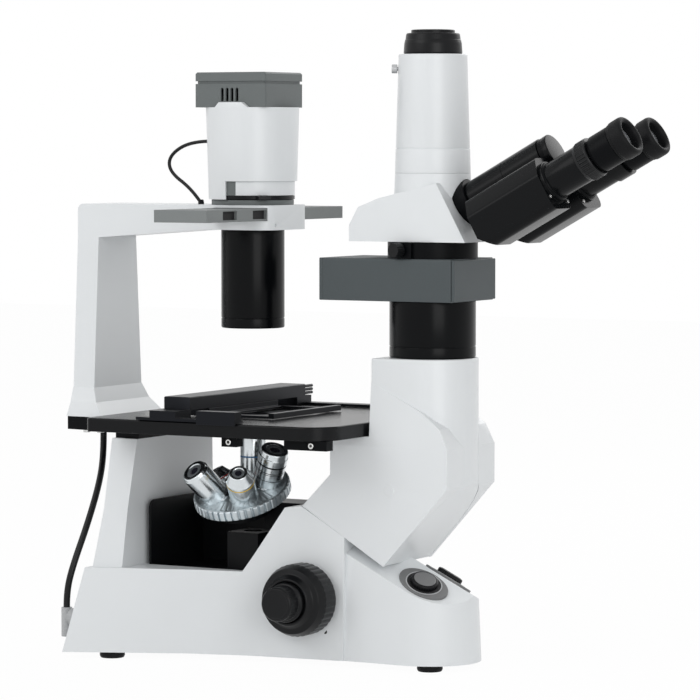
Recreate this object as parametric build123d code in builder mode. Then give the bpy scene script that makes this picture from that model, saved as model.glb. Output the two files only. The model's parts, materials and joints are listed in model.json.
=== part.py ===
from build123d import *
from math import cos, sin, radians, tan
import os

# An inverted laboratory microscope, in millimetres.
# +X points to the user, +Y to the far side and +Z up. The bench is Z = 0.
# Places along X are measured from the light axis, the vertical line that runs
# from the lamp through the condenser to the working objective.

os.makedirs("parts", exist_ok=True)

# Fits that every piece shares
cut_overrun = 1.0
running_gap = 0.05
seat_gap = 0.3

# Observation axis, the vertical line through column, head and camera tube
column_offset = 194.8

# Binocular: the hinge axis and the two eye tubes that swing about it
tube_tilt = 29.0
hinge_offset_x = 275.5
eye_drop = 30.5
eye_half_spread = 29.5
eyecup_front = 138.4
eyecup_radius = 19.0

# Rear and near reach of the whole stand
pillar_rear = 178.0
slider_near_reach = 144.0

tilt_cos = cos(radians(tube_tilt))
tilt_sin = sin(radians(tube_tilt))
eye_axis_x = hinge_offset_x + eye_drop * tilt_sin
front_reach = eye_axis_x + eyecup_front * tilt_cos + eyecup_radius * tilt_sin
light_x = (pillar_rear - front_reach) / 2
column_x = light_x + column_offset

# Base casting
foot_height = 6.0
foot_radius = 12.0
foot_edge = 2.0
rear_foot_x = -98.6
rear_foot_y = 97.0
front_foot_x = 208.0
front_foot_y = 29.5
plan_rear_x = -135.5
plan_rear_half = 127.7
plan_rear_top_x = -117.0
plan_rear_top_half = 84.0
plan_kink_x = -24.0
plan_kink_half = 77.3
plan_kink_top_half = 62.0
plan_waist_x = 34.0
plan_waist_half = 61.5
plan_waist_top_half = 53.0
crease_x = 127.0
crease_half = 50.0
crease_top_half = 47.0
envelope_top = 150.0
wall_top = 85.0
leg_front_low_x = -93.0
leg_front_top_x = -88.0
leg_rear_top_x = -116.5
leg_low_half = 90.0
leg_mid_half = 78.0
leg_top_half = 68.6
leg_mid_height = 140.0
leg_top = 206.5
leg_corner = 9.0
base_wall = 6.0
pocket_floor = 78.0
pocket_rear_x = -86.0
pocket_near_y = 51.0
pocket_far_y = 47.0
pocket_front_x = 26.0
hollow_top = 70.0
hump_foot_x = 23.0
hump_apex_x = 65.0
hump_apex = 147.0
far_wall_rear = 145.0
far_wall_front = 137.0
plate_thickness = 2.0

# Front lobe of the base
lobe_half = 48.0
lobe_centre_x = 190.0
lobe_reach = 51.0
lobe_draft = 2.5
lobe_stock = 124.0
lobe_hollow_top = 43.0
duct_half = 20.0
ridge_x = 203.0
ridge_height = 86.0
ridge_slope = 26.0
roof_slope = 19.0
dimmer_x = 198.3
dimmer_y = 24.0
bezel_long = 25.0
bezel_short = 19.0
bezel_rise = 2.2
bezel_sink = 1.5
bezel_recess = 0.6
dimmer_radius = 15.0
dimmer_height = 7.0
dimmer_grip = 1.1
dimmer_grip_bite = 0.55
dimmer_grip_count = 20
dimmer_stem = 4.0
dimmer_stem_length = 16.0

# Column
column_radius = 43.0
column_rear_x = 153.0
column_top = 289.6
slab_top_x = 112.0
slab_side_foot = 180.0
slab_foot_x = 82.0
slab_foot = 149.0
slab_toe_x = 168.5
slab_toe = 96.6
slab_knee_x = 235.4
slab_knee = 171.4
column_bore = 24.0
column_bore_floor = 170.0
column_edge = 3.0
cover_thickness = 5.0
cover_side_top = 208.0
cover_arc_x = 207.0
cover_arc = 241.0
cover_elbow_x = 227.0
cover_elbow = 226.0
cover_fade = 268.0
plug_x = 174.8
plug_height = 167.6
plug_radius = 5.0
plug_rise = 0.6

# Stage
stage_rear_x = -111.0
stage_front_x = 150.0
stage_half = 124.0
stage_bottom = 217.0
stage_top = 230.0
stage_rear_corner = 6.0
stage_front_corner = 30.0
stage_edge = 1.0
insert_radius = 55.0
insert_thickness = 3.0
insert_ledge = 4.0
insert_hole = 15.0
bracket_y = 110.0
bracket_depth = 12.0
bracket_drop = 9.0
rear_bracket_x = 43.0
rear_bracket_length = 16.0
front_bracket_x = 124.5
front_bracket_length = 45.0
bracket_screw = 2.6
bracket_screw_rise = 0.8

# Shelf behind the stage and the lamp pillar that stands on it
shelf_rear_half = 53.0
shelf_front_half = 66.0
shelf_top = 224.4
shelf_bottom = 211.7
shelf_bolt_radius = 3.4
shelf_bolt_drop = 3.2
shelf_bolt_y = 42.0
shelf_bolt_rear_x = -163.0
shelf_bolt_front_x = -147.0
pillar_front_x = -154.0
pillar_low_half = 44.0
pillar_top_half = 33.5
flare_reach = 17.0
flare_half_reach = 11.0
flare_mid = 238.0
flare_mid_share = 0.33
flare_top = 252.0
arm_top = 430.0
arm_root_bottom = 397.5
arm_mid_bottom = 404.5
arm_end_bottom = 406.5
arm_mid_x = -57.0
arm_shoulder_x = -32.0
arm_half = 40.0
arm_end_x = 41.0
arm_corner = 15.0
arm_edge = 3.0
arm_bore = 22.0
set_screw_radius = 1.7
set_screw_depth = 4.0
set_screw_y = 26.0

# Condenser, phase slider and lamp
tube_radius = 30.3
tube_bottom = 312.6
tube_wall = 3.0
tube_line = 322.0
tube_groove = 0.5
tube_groove_width = 0.9
condenser_glass = 6.0
slider_rear_x = -20.5
slider_front_x = 36.5
slider_bottom = 415.6
slider_top = 427.2
slider_far_reach = 110.0
slider_play = 0.35
slider_aperture = 17.0
slider_pitch = 62.0
slider_notch_depth = 3.0
slider_notch_margin = 1.6
slider_notch_start = 29.0
slider_notch_length = 25.0
disc_radius = 39.3
disc_height = 5.0
lever_radius = 40.2
lever_height = 3.4
lever_reach = 44.5
lever_angle = -46.0
drum_radius = 40.3
drum_top = 452.3
lamp_low_radius = 42.0
lamp_top_radius = 44.6
lamp_wall = 3.0
lamp_bottom = 435.3
lamp_top = 522.6
window_side_angle = 97.0
tab_rise = 4.7
tab_low_half = 18.0
tab_high_half = 12.3
cap_x = -4.0
cap_length = 78.0
cap_width = 72.0
cap_top = 555.8
cap_groove_height = 544.8
cap_groove_width = 2.6
cap_groove_depth = 1.6
cap_corner = 3.0
cap_edge = 1.6
cap_wall = 3.0
vent_count = 4
vent_width = 3.2
vent_pitch = 5.4
vent_bottom = 528.0
vent_height = 13.0
vent_depth = 2.2
lamp_deck = 6.0
led_radius = 26.0
led_height = 22.0
led_fin_width = 3.0
led_fin_count = 5
led_fin_depth = 12.0
collector_radius = 24.0
collector_height = 8.0

# Nosepiece
nose_tilt = 25.0
nose_apex = 112.0
nose_plane = 49.0
turret_radius = 47.0
turret_rim = 8.5
turret_bowl_radius = 33.0
turret_crown = 5.0
turret_crown_radius = 12.0
turret_grip_count = 40
turret_grip_radius = 1.6
turret_grip_bite = 1.1
turret_pin = 5.0
turret_positions = 5
boss_radius = 14.2
boss_seat = 57.0
boss_root = 46.0
thread_radius = 10.0
thread_length = 5.0
mount_radius = 31.0
mount_thickness = 9.0
mount_gap = 0.4
rim_step = 1.5
pin_length = 9.0
arm_start_x = 20.0
light_bore = 9.0
arm_low = 121.0
arm_high = 147.0
arm_near_y = 13.0
arm_far_y = 24.0
carriage_rear_x = 62.0
carriage_front_x = 80.0
carriage_low = 100.0
carriage_high = 147.0
guide_half = 7.0
guide_low = 111.0
guide_high = 142.0
guide_fit = 0.06
focus_down = 9.0

# Objectives: body radius, tip height over the seat, nose radius and shoulder height as shares
objective_names = [
    "objective_working", "objective_short", "objective_left", "objective_near", "objective_right",
]
objective_radii = [12.3, 12.0, 13.6, 12.6, 14.1]
objective_lengths = [38.0, 17.0, 38.0, 36.0, 42.0]
objective_nose_shares = [0.72, 0.55, 0.86, 0.46, 0.88]
objective_shoulder_shares = [0.92, 0.55, 0.93, 0.60, 0.86]
objective_collar = 5.0
objective_groove = 0.6
lens_radius_share = 0.3
lens_recess = 0.7

# Focus drive
focus_x = 90.5
focus_z = 63.5
focus_shaft_radius = 8.0
fine_shaft_radius = 4.0
coarse_start = 56.5
coarse_drum = 22.0
coarse_radius = 34.0
coarse_front_radius = 30.7
coarse_cone = 7.0
coarse_dish = 4.0
coarse_dish_radius = 21.0
coarse_grip_count = 36
coarse_grip_radius = 3.0
coarse_grip_bite = 0.6
fine_start = 89.0
fine_root_radius = 18.5
fine_radius = 16.0
fine_step = 7.0
fine_end = 112.0
fine_edge = 1.5
pinion_radius = 6.0
pinion_width = 8.0
neck_end = 16.0
rack_width = 7.0
rack_low = 42.0
rack_high = 86.0

# Mechanical stage
bar_rear_x = -37.0
bar_front_x = -8.6
bar_near_y = 101.0
bar_far_y = 115.0
bar_bottom = 239.0
bar_top = 251.3
bar_edge = 0.8
rod_radius = 1.5
rod_reach = 20.0
rod_pitch = 4.2
shoe_thickness = 2.8
shoe_gap = 0.4
shoe_rear_x = -52.0
shoe_inner_y = 112.0
shoe_outer_y = 127.0
grip_rear_x = 14.0
grip_front_x = 56.0
grip_bottom = 228.3
grip_top = 241.0
grip_inner_y = 115.0
holder_near_y = 66.0
holder_far_y = 62.0
holder_bottom = 231.2
holder_thickness = 2.4
holder_front_x = 62.0
holder_bar = 6.0
holder_bar_height = 5.0
holder_rail = 8.0
drive_x = 75.0
drive_arm = 12.0
drive_shaft_radius = 4.0
drive_gap = 3.0
upper_knob_radius = 13.0
upper_knob_top = 208.0
upper_knob_height = 17.0
lower_knob_radius = 10.5
lower_knob_top = 189.0
lower_knob_height = 21.0
drive_bracket_drop = 8.0
drive_grip = 0.9
drive_grip_bite = 0.45
drive_grip_count = 16
riser_y = 99.0
rod_share = 0.8

# Relay mirrors
box_half = 17.0
box_depth = 20.0
box_top = 117.0
liner = 2.2
liner_floor = 2.2
liner_rear_top = 147.0
liner_corner = 8.0

# Fluorescence unit and the tubes between column and head
field_radius = 40.3
field_wall = 9.0
field_line_rise = 10.4
field_line = column_top + field_line_rise
field_edge = 1.2
field_height = 53.1
unit_bottom = column_top + field_height
unit_height = 39.5
unit_top = unit_bottom + unit_height
unit_rear_x = 97.2
unit_front_x = 236.0
unit_half = 42.5
unit_edge = 1.2
unit_wall = 4.0
unit_cover = 4.0
unit_cover_margin = 0.8
cube_length = 50.0
cube_window = 14.0
ring_bore = 24.0
ring_height = 15.2
ring_top = unit_top + ring_height
ring_slot_x = -0.5
ring_slot_length = 13.0
ring_slot_depth = 3.0
clamp_turn = 17.0
clamp_radius = 6.8
clamp_head = 9.0
clamp_start = 38.0
clamp_stem = 2.5
clamp_boss = 5.0
clamp_rise = 8.0
clamp_height = unit_top + clamp_rise
clamp_grip_count = 16
clamp_grip_radius = 0.8
clamp_grip_bite = 0.4

# Head
head_half = 36.0
head_seat_rise = 15.5
head_bottom = unit_top + head_seat_rise
head_rear_x = 125.5
head_rear_low_rise = 14.9
head_rear_low = head_bottom + head_rear_low_rise
head_shoulder_x = 135.0
head_shoulder_rise = 31.8
head_shoulder = head_bottom + head_shoulder_rise
head_deck_x = 157.0
head_deck_rise = 40.3
head_deck = head_bottom + head_deck_rise
head_crest_x = 217.0
head_crest_rise = 54.3
head_crest = head_bottom + head_crest_rise
head_face = -53.3
head_edge = 4.0
hinge_rise = 58.8
hinge_height = head_bottom + hinge_rise
photo_low_rise = 43.3
photo_low = head_bottom + photo_low_rise
photo_flare_radius = 36.0
photo_flare_rise = 63.3
photo_flare_top = head_bottom + photo_flare_rise
photo_radius = 35.2
photo_seam_rise = 85.8
photo_seam = head_bottom + photo_seam_rise
photo_top_radius = 32.6
photo_height = 110.0
photo_top = photo_flare_top + photo_height
photo_bore = 26.0
light_path = 15.0
cap_radius = 29.4
cap_shoulder_rise = 12.0
cap_shoulder = photo_top + cap_shoulder_rise
cap_crown_radius = 27.0
cap_crown_rise = 19.4
cap_crown = photo_top + cap_crown_rise
cap_lid_radius = 21.3
cap_lid_rise = 22.6
cap_lid = photo_top + cap_lid_rise
cap_stem = 6.0
photo_screw_drop = 13.5
photo_screw_height = photo_top - photo_screw_drop
photo_screw_angle = 205.0
photo_screw_radius = 4.2
photo_screw_length = 5.0
photo_screw_stem = 1.8

# Binocular pieces, measured along the tilted hinge axis from the hinge point
hub_radius = 21.0
hinge_shaft_radius = 7.0
barrel_radius = 17.5
barrel_start = -39.7
barrel_end = 42.5
hinge_cap = 5.0
hinge_cap_radius = 16.5
housing_start = -33.0
housing_end = 48.0
housing_bore_gap = 0.35
housing_floor = 57.0
housing_heel = 44.0
housing_heel_length = 12.0
housing_outer = 51.5
housing_waist_angle = 13.0
housing_top_drop = 5.0
housing_outer_drop = 22.0
housing_corner = 8.0
housing_crown = 40.0
flange_radius = 20.0
flange_length = 3.0
eye_tube_radius = 17.4
eye_tube_end = 84.0
diopter_radius = 19.0
diopter_end = 98.5
diopter_grip_count = 44
diopter_grip_radius = 0.6
diopter_grip_bite = 0.3
eyepiece_neck = 102.0
eyepiece_neck_radius = 16.0
eyepiece_radius = 17.4
eyepiece_stem = 11.5
eyecup_start = 112.0
eyecup_lip = 12.6
eyecup_depth = 9.0
eyecup_throat = 11.0

# Leads and sockets: the hand-chosen corners of both routes are listed with the values that follow
lead_radius = 1.7
cable_radius = 3.2
gland_radius = 4.5
gland_height = 4.0
cable_gland_x = -158.0
cable_gland_y = -20.0
socket_y = -100.0
socket_height = 36.0
socket_radius = 8.4
plug_nut = 7.0
plug_body_radius = 5.2
plug_body_x = -148.5
plug_body_low = 17.0
plug_body_high = 45.0
inlet_y = 40.0
inlet_height = 42.0
inlet_width = 30.0
inlet_tall = 24.0
inlet_depth = 18.0
inlet_flange = 2.0
lead_exit_height = 490.5
lead_exit_stub = 5.0
arm_gland_x = -58.0
arm_gland_rise = 1.0
bend_share = 0.45
lead_out = 24.0
supply_x = -112.0
supply_length = 90.0
supply_half = 40.0
supply_height = 40.0
lever_tongue = 12.0
lamp_inner_gap = 0.5
flare_edge = 1.0

# Values that follow from the ones above
slot_low = carriage_low - focus_down - seat_gap
rack_rear_x = carriage_front_x - guide_half
rack_front_x = focus_x - pinion_radius
column_front_x = column_offset + column_radius
lamp_floor = drum_top + seat_gap
lead_start = lamp_top_radius + cut_overrun
clamp_ring_radius = column_radius - cut_overrun
mirror_height = (pocket_floor + box_top) / 2
column_mirror = column_bore_floor + column_bore
lamp_lead_route = [
    (-lead_start, 0, lead_exit_height),
    (-lead_start - lead_out, 0, lead_exit_height),
    (-94, 0, 477),
    (-94, 0, 461),
    (-68, 0, 444),
    (arm_gland_x, 0, arm_top + arm_gland_rise),
]
rear_cable_route = [
    (cable_gland_x, cable_gland_y, shelf_bottom - gland_height),
    (cable_gland_x, cable_gland_y, 187),
    (-146, -45, 162),
    (-140, -75, 125),
    (-143, -98, 84),
    (plug_body_x, socket_y, 60),
    (plug_body_x, socket_y, plug_body_high),
]

drive_y = stage_half + drive_gap + drive_shaft_radius
hub_start = head_face
barrel_middle = (barrel_start + barrel_end) / 2
head_foot_x = head_crest_x + (head_crest - head_bottom) * tilt_sin / tilt_cos

# Frames that the pieces are drawn on
light = Plane(origin=(light_x, 0, 0))
column = Plane(origin=(column_x, 0, 0))
hinge_point = Vector(light_x + hinge_offset_x, 0, hinge_height)
hinge_direction = Vector(tilt_cos, 0, tilt_sin)
hinge = Plane(origin=hinge_point, x_dir=(0, 1, 0), z_dir=hinge_direction)
nose_direction = Vector(0, -sin(radians(nose_tilt)), cos(radians(nose_tilt)))
nose_point = Vector(light_x, 0, nose_apex)
nose = Plane(origin=nose_point, x_dir=(1, 0, 0), z_dir=nose_direction)


def upright(y):
    """The X-Z plane at y, seen from the near side: local x is X from the light axis, local y is Z."""
    return Plane(origin=(light_x, y, 0), x_dir=(1, 0, 0), z_dir=(0, -1, 0))


def across(x):
    """The Y-Z plane at x from the light axis, facing the user: local x is Y, local y is Z."""
    return Plane(origin=(light_x + x, 0, 0), x_dir=(0, 1, 0), z_dir=(1, 0, 0))


def polygon(plane, points):
    """A closed straight-sided face on a plane."""
    with BuildSketch(plane) as face:
        with BuildLine():
            Polyline(*points, close=True)
        make_face()
    return face.sketch


def prism(plane, points, depth, mode=Mode.ADD):
    """A straight-sided outline pushed along the plane's normal."""
    return extrude(polygon(plane, points), amount=depth, mode=mode)


def block(x0, x1, y0, y1, z0, z1, mode=Mode.ADD):
    """A box between two corners, with x measured from the light axis."""
    points = [(x0, y0), (x1, y0), (x1, y1), (x0, y1)]
    return prism(light.offset(z0), points, z1 - z0, mode)


def disc(plane, radius, depth, mode=Mode.ADD):
    """A round bar along the plane's normal."""
    with BuildSketch(plane) as face:
        Circle(radius)
    return extrude(face.sketch, amount=depth, mode=mode)


def turned(plane, profile, mode=Mode.ADD):
    """A lathe piece: the (radius, height) outline turned about the plane's normal."""
    section = Plane(origin=plane.origin, x_dir=plane.x_dir, z_dir=-plane.y_dir)
    return revolve(polygon(section, profile), axis=Axis(plane.origin, plane.z_dir), mode=mode)


def scallops(plane, radius, grip, bite, count, depth):
    """Finger grooves cut round a knob: a ring of bars of the grip's radius that bite into its rim."""
    with BuildSketch(plane) as face:
        with PolarLocations(radius + grip - bite, count):
            Circle(grip)
    extrude(face.sketch, amount=depth, mode=Mode.SUBTRACT)


def finish(name, builder):
    """Labels a finished piece and writes it out."""
    builder.part.label = name
    export_step(builder.part, "parts/" + name + ".step")


def roof_plane(side):
    """The sloping roof of the front lobe on one side, about the middle of its dimmer."""
    slope = radians(ridge_slope)
    roll = radians(roof_slope)
    down = Vector(cos(slope), 0, -sin(slope))
    normal = Vector(sin(slope) * cos(roll), side * sin(roll), cos(slope) * cos(roll))
    fall = ((dimmer_x - ridge_x) * normal.X + dimmer_y * abs(normal.Y)) / normal.Z
    origin = (light_x + dimmer_x, side * dimmer_y, ridge_height - fall)
    return Plane(origin=origin, x_dir=down, z_dir=normal)


def drive_axis(y):
    """The focus drive's axis, starting at y and running to the far side."""
    return Plane(origin=(light_x + focus_x, y, focus_z), x_dir=(1, 0, 0), z_dir=(0, 1, 0))


def socket_plane(x):
    """The round socket's axis, starting at x and running into the base."""
    return Plane(origin=(light_x + x, socket_y, socket_height), x_dir=(0, 1, 0), z_dir=(1, 0, 0))


def photo_screw_plane(reach):
    """The camera tube's clamp screw, starting at its reach from the column axis."""
    turn = radians(photo_screw_angle)
    outward = Vector(cos(turn), sin(turn), 0)
    origin = Vector(column_x, 0, photo_screw_height) + outward * reach
    return Plane(origin=origin, x_dir=(0, 0, 1), z_dir=outward)


def eye_plane(side):
    """The eye tube's axis on one side, level with the hinge point."""
    return Plane(
        origin=hinge_point + hinge.x_dir * (side * eye_half_spread) - hinge.y_dir * eye_drop,
        x_dir=(0, 1, 0),
        z_dir=hinge_direction,
    )


def station(index):
    """The axis of one turret position: the upright one, turned about the turret's axis."""
    turn = 360 / turret_positions * index
    axis = Vector(0, 0, 1).rotate(Axis((0, 0, 0), nose_direction), turn)
    return Plane(origin=nose_point, x_dir=axis.cross(nose_direction), z_dir=axis)


def drive_plane(z):
    """The stage drive's hanging axis, from z upward."""
    return Plane(origin=(light_x + drive_x, drive_y, z))


def clamp_plane(reach):
    """The head clamp screw's axis, starting at its reach from the column axis."""
    turn = radians(clamp_turn)
    outward = Vector(-sin(turn), -cos(turn), 0)
    origin = Vector(column_x, 0, clamp_height) + outward * reach
    return Plane(origin=origin, x_dir=(0, 0, 1), z_dir=outward)


def hollow_plans(inset):
    """The front lobe's hollow and the duct to it, as faces under the base."""
    start = light.offset(foot_height)
    with BuildSketch(start) as lobe_plan:
        with Locations((lobe_centre_x, 0)):
            Ellipse(lobe_reach - 2 * base_wall - inset, lobe_half - 2 * base_wall - inset)
    half = duct_half - inset
    rear = crease_x - base_wall
    duct = polygon(start, [(rear, half), (lobe_centre_x, half), (lobe_centre_x, -half), (rear, -half)])
    return lobe_plan.sketch, duct


# Base casting: a flared envelope, cut to the side outline, with leg, hump and lobe
rear_low = [(plan_rear_x, plan_rear_half), (plan_kink_x, plan_kink_half)]
low_plan = rear_low + [(plan_waist_x, plan_waist_half), (crease_x, crease_half)]
rear_high = [(plan_rear_top_x, plan_rear_top_half), (plan_kink_x, plan_kink_top_half)]
high_plan = rear_high + [(plan_waist_x, plan_waist_top_half), (crease_x, crease_top_half)]


def both_sides(points, inset=0.0):
    """Mirrors a half plan about the middle plane and pulls it in by the wall."""
    rear_x = points[0][0] + inset
    half = [(max(x, rear_x), y - inset) for x, y in points]
    return [(x, -y) for x, y in half] + [(x, y) for x, y in reversed(half)]


def envelope(inset, top, mode=Mode.ADD):
    """The flared body between the low plan and the plan that it leans in to."""
    share = (top - foot_height) / (envelope_top - foot_height)
    pairs = zip(low_plan, high_plan)
    upper = [(a + (c - a) * share, b + (d - b) * share) for (a, b), (c, d) in pairs]
    lower_face = polygon(light.offset(foot_height), both_sides(low_plan, inset))
    upper_face = polygon(light.offset(top), both_sides(upper, inset))
    loft([lower_face.face(), upper_face.face()], ruled=True, mode=mode)


slant = (slab_foot - slab_toe) / (slab_toe_x - slab_foot_x)
seam_at_crease = slab_toe + slant * (slab_toe_x - crease_x)

side_outline = [
    (plan_rear_x, foot_height),
    (plan_rear_x, wall_top),
    (hump_foot_x, wall_top),
    (hump_apex_x, hump_apex),
    (slab_foot_x, slab_foot),
    (crease_x, seam_at_crease),
    (crease_x, foot_height),
]
far_outline = [
    (leg_front_low_x, foot_height),
    (leg_front_low_x, far_wall_rear),
    (hump_apex_x, far_wall_front),
    (hump_apex_x, foot_height),
]

with BuildPart() as base_frame:
    envelope(0.0, envelope_top)
    prism(upright(plan_rear_half), side_outline, 2 * plan_rear_half, mode=Mode.INTERSECT)
    with BuildPart(mode=Mode.PRIVATE) as far_wall:
        envelope(0.0, envelope_top)
        prism(upright(plan_rear_half), far_outline, plan_rear_half - pocket_far_y, mode=Mode.INTERSECT)
    add(far_wall.part)

    # The rear leg narrows from the casting's shoulders to the stage
    low_leg = [(plan_rear_top_x, leg_low_half), (leg_front_low_x, leg_low_half)]
    leg_rear_low_x = plan_rear_top_x - leg_corner / 2
    with BuildSketch(light.offset(wall_top - leg_corner)) as leg_low:
        with BuildLine():
            Polyline(*both_sides([(leg_rear_low_x, leg_low_half + leg_corner), low_leg[1]]), close=True)
        make_face()
    with BuildSketch(light.offset(leg_mid_height)) as leg_mid:
        with BuildLine():
            mid_half = [(plan_rear_top_x, leg_mid_half + leg_corner / 2), (leg_front_low_x, leg_mid_half)]
            Polyline(*both_sides(mid_half), close=True)
        make_face()
    with BuildSketch(light.offset(leg_top)) as leg_high:
        with BuildLine():
            leg_ends = [(leg_rear_top_x, leg_top_half), (leg_front_top_x, leg_top_half)]
            Polyline(*both_sides(leg_ends), close=True)
        make_face()
    loft([leg_low.sketch.face(), leg_mid.sketch.face(), leg_high.sketch.face()], ruled=True)

    # The lobe at the front is a drafted tongue under a two-sided sloping roof
    with BuildPart(mode=Mode.PRIVATE) as lobe:
        with BuildSketch(light.offset(foot_height)) as tongue:
            with Locations((lobe_centre_x, 0)):
                Ellipse(lobe_reach, lobe_half)
            with BuildLine():
                tongue_points = [(crease_x - base_wall, lobe_half), (lobe_centre_x, lobe_half)]
                Polyline(*both_sides(tongue_points), close=True)
            make_face()
        extrude(tongue.sketch, amount=lobe_stock - foot_height, taper=lobe_draft)
        for side in (-1, 1):
            with BuildSketch(roof_plane(side)) as roof_cut:
                Rectangle(2 * ridge_x, 2 * ridge_x)
            extrude(roof_cut.sketch, amount=lobe_stock, mode=Mode.SUBTRACT)
    add(lobe.part)
    seam_outline = [(slab_foot_x, slab_foot), (slab_toe_x, slab_toe), (slab_knee_x, slab_knee)]
    seam_outline += [(slab_knee_x, column_top), (slab_foot_x, column_top)]
    prism(upright(plan_rear_half), seam_outline, 2 * plan_rear_half, Mode.SUBTRACT)

    # Nosepiece pocket, focus slot and the hollow for the electrics
    block(
        pocket_rear_x, pocket_front_x, -pocket_near_y, pocket_far_y,
        pocket_floor, envelope_top, Mode.SUBTRACT,
    )
    block(
        pocket_front_x - cut_overrun, carriage_front_x + seat_gap, -arm_near_y - seat_gap,
        arm_far_y + seat_gap, slot_low, envelope_top, Mode.SUBTRACT,
    )
    envelope(base_wall, hollow_top, Mode.SUBTRACT)
    for plan in hollow_plans(0.0):
        extrude(plan, amount=lobe_hollow_top - foot_height, mode=Mode.SUBTRACT)
    block(
        rack_rear_x - seat_gap, rack_front_x + seat_gap, -rack_width - seat_gap, rack_width + seat_gap,
        hollow_top - cut_overrun, slot_low + cut_overrun, Mode.SUBTRACT,
    )
    disc(drive_axis(-plan_rear_half), focus_shaft_radius + running_gap, 2 * plan_rear_half, Mode.SUBTRACT)
    for side in (-1, 1):
        with BuildSketch(roof_plane(side)) as bezel_seat:
            Ellipse(bezel_long + running_gap, bezel_short + running_gap)
        extrude(bezel_seat.sketch, amount=-bezel_sink, mode=Mode.SUBTRACT)
        disc(roof_plane(side), dimmer_stem + running_gap, -dimmer_stem_length - cut_overrun, Mode.SUBTRACT)
    block(
        plan_rear_x - cut_overrun, plan_rear_top_x, inlet_y - inlet_width / 2 - seat_gap,
        inlet_y + inlet_width / 2 + seat_gap, inlet_height - inlet_tall / 2 - seat_gap,
        inlet_height + inlet_tall / 2 + seat_gap, Mode.SUBTRACT,
    )
    disc(socket_plane(plan_rear_x - cut_overrun), socket_radius + seat_gap, inlet_depth, Mode.SUBTRACT)
finish("base_frame", base_frame)

with BuildPart() as bottom_cover:
    cover_inset = base_wall + 3 * seat_gap
    cover_rear_x = plan_rear_x + cover_inset
    cover_half = [(x, y - cover_inset) for x, y in low_plan]
    cover_half = [(cover_rear_x, cover_half[0][1])] + cover_half[1:]
    prism(light.offset(foot_height), both_sides(cover_half), plate_thickness)
    for plan in hollow_plans(seat_gap):
        extrude(plan, amount=plate_thickness + cut_overrun)
    block(
        plan_rear_x, lobe_centre_x + lobe_reach, -plan_rear_half, plan_rear_half,
        foot_height + plate_thickness, foot_height + lobe_stock, Mode.SUBTRACT,
    )
    block(
        plan_rear_x, lobe_centre_x + lobe_reach, -plan_rear_half, plan_rear_half,
        0.0, foot_height, Mode.SUBTRACT,
    )
finish("bottom_cover", bottom_cover)

with BuildPart() as rubber_feet:
    for x, y in ((rear_foot_x, rear_foot_y), (front_foot_x, front_foot_y)):
        for side in (-1, 1):
            low_radius = foot_radius - foot_edge / 2
            profile = [(0, 0), (low_radius, 0), (foot_radius, foot_edge), (foot_radius, foot_height)]
            turned(Plane(origin=(light_x + x, side * y, 0)), profile + [(0, foot_height)])
finish("rubber_feet", rubber_feet)

with BuildPart() as cavity_liner:
    block(
        pocket_rear_x, pocket_front_x, -pocket_near_y, pocket_far_y,
        pocket_floor, pocket_floor + liner_floor,
    )
    rear_panel = [(-pocket_near_y, pocket_floor), (pocket_far_y, pocket_floor)]
    rear_panel += [(pocket_far_y, liner_rear_top), (-pocket_near_y, liner_rear_top)]
    with BuildSketch(across(pocket_rear_x)) as panel:
        with BuildLine():
            Polyline(*rear_panel, close=True)
        make_face()
        low_corners = panel.vertices().sort_by(Axis.Y)[:2]
        fillet(low_corners, radius=liner_corner)
    extrude(panel.sketch, amount=liner)
    block(
        pocket_rear_x, pocket_front_x, pocket_far_y - liner, pocket_far_y,
        pocket_floor, far_wall_front,
    )
    block(
        pocket_rear_x, pocket_front_x, -pocket_near_y, liner - pocket_near_y,
        pocket_floor, wall_top,
    )
    block(-box_half, box_half, -box_depth, box_depth, pocket_floor, box_top)
    block(
        liner - box_half, box_half - liner, liner - box_depth, box_depth - liner,
        pocket_floor + liner_floor, box_top - liner, Mode.SUBTRACT,
    )
    disc(light.offset(box_top - 2 * liner), light_bore, box_top, Mode.SUBTRACT)
finish("cavity_liner", cavity_liner)

knee_slope = (slab_knee - slab_toe) / (slab_knee_x - slab_toe_x)

# Column: a side outline cut to a D in plan, with slab covers on both sides
column_outline = [(column_rear_x, column_top), (column_rear_x, stage_bottom), (slab_top_x, stage_bottom)]
column_outline += [(slab_top_x, slab_side_foot), (slab_foot_x, slab_foot), (slab_toe_x, slab_toe)]
column_outline += [(column_front_x, slab_toe + (column_front_x - slab_toe_x) * knee_slope)]
column_outline += [(column_front_x, column_top)]


def column_plan(depth, mode=Mode.ADD):
    """The D of the column in plan, from the bench up."""
    with BuildSketch(light) as plan:
        with Locations((column_offset, 0)):
            Circle(column_radius)
        with BuildLine():
            plan_ends = [(slab_foot_x - cut_overrun, column_radius), (column_offset, column_radius)]
            Polyline(*both_sides(plan_ends), close=True)
        make_face()
    return extrude(plan.sketch, amount=depth, mode=mode)


with BuildPart() as column_housing:
    prism(upright(column_radius), column_outline, 2 * column_radius)
    column_plan(column_top, Mode.INTERSECT)
    disc(column.offset(column_bore_floor), column_bore, column_top, Mode.SUBTRACT)
    rim = column_housing.part.edges().filter_by(lambda e: e.center().Z > column_top - cut_overrun)
    fillet(rim.filter_by(lambda e: e.center().X > column_x + column_bore / 2), radius=column_edge / 2)
finish("column_housing", column_housing)

cover_outline = [(slab_top_x, stage_bottom), (slab_top_x, slab_side_foot), (slab_foot_x, slab_foot)]
cover_outline += [(slab_toe_x, slab_toe), (slab_knee_x, slab_knee), (slab_knee_x, cover_side_top)]
cover_outline += [(cover_elbow_x, cover_elbow), (cover_arc_x, cover_arc), (column_rear_x, cover_fade)]
cover_outline += [(column_rear_x, stage_bottom)]
cover_face = column_radius + cover_thickness

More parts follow.
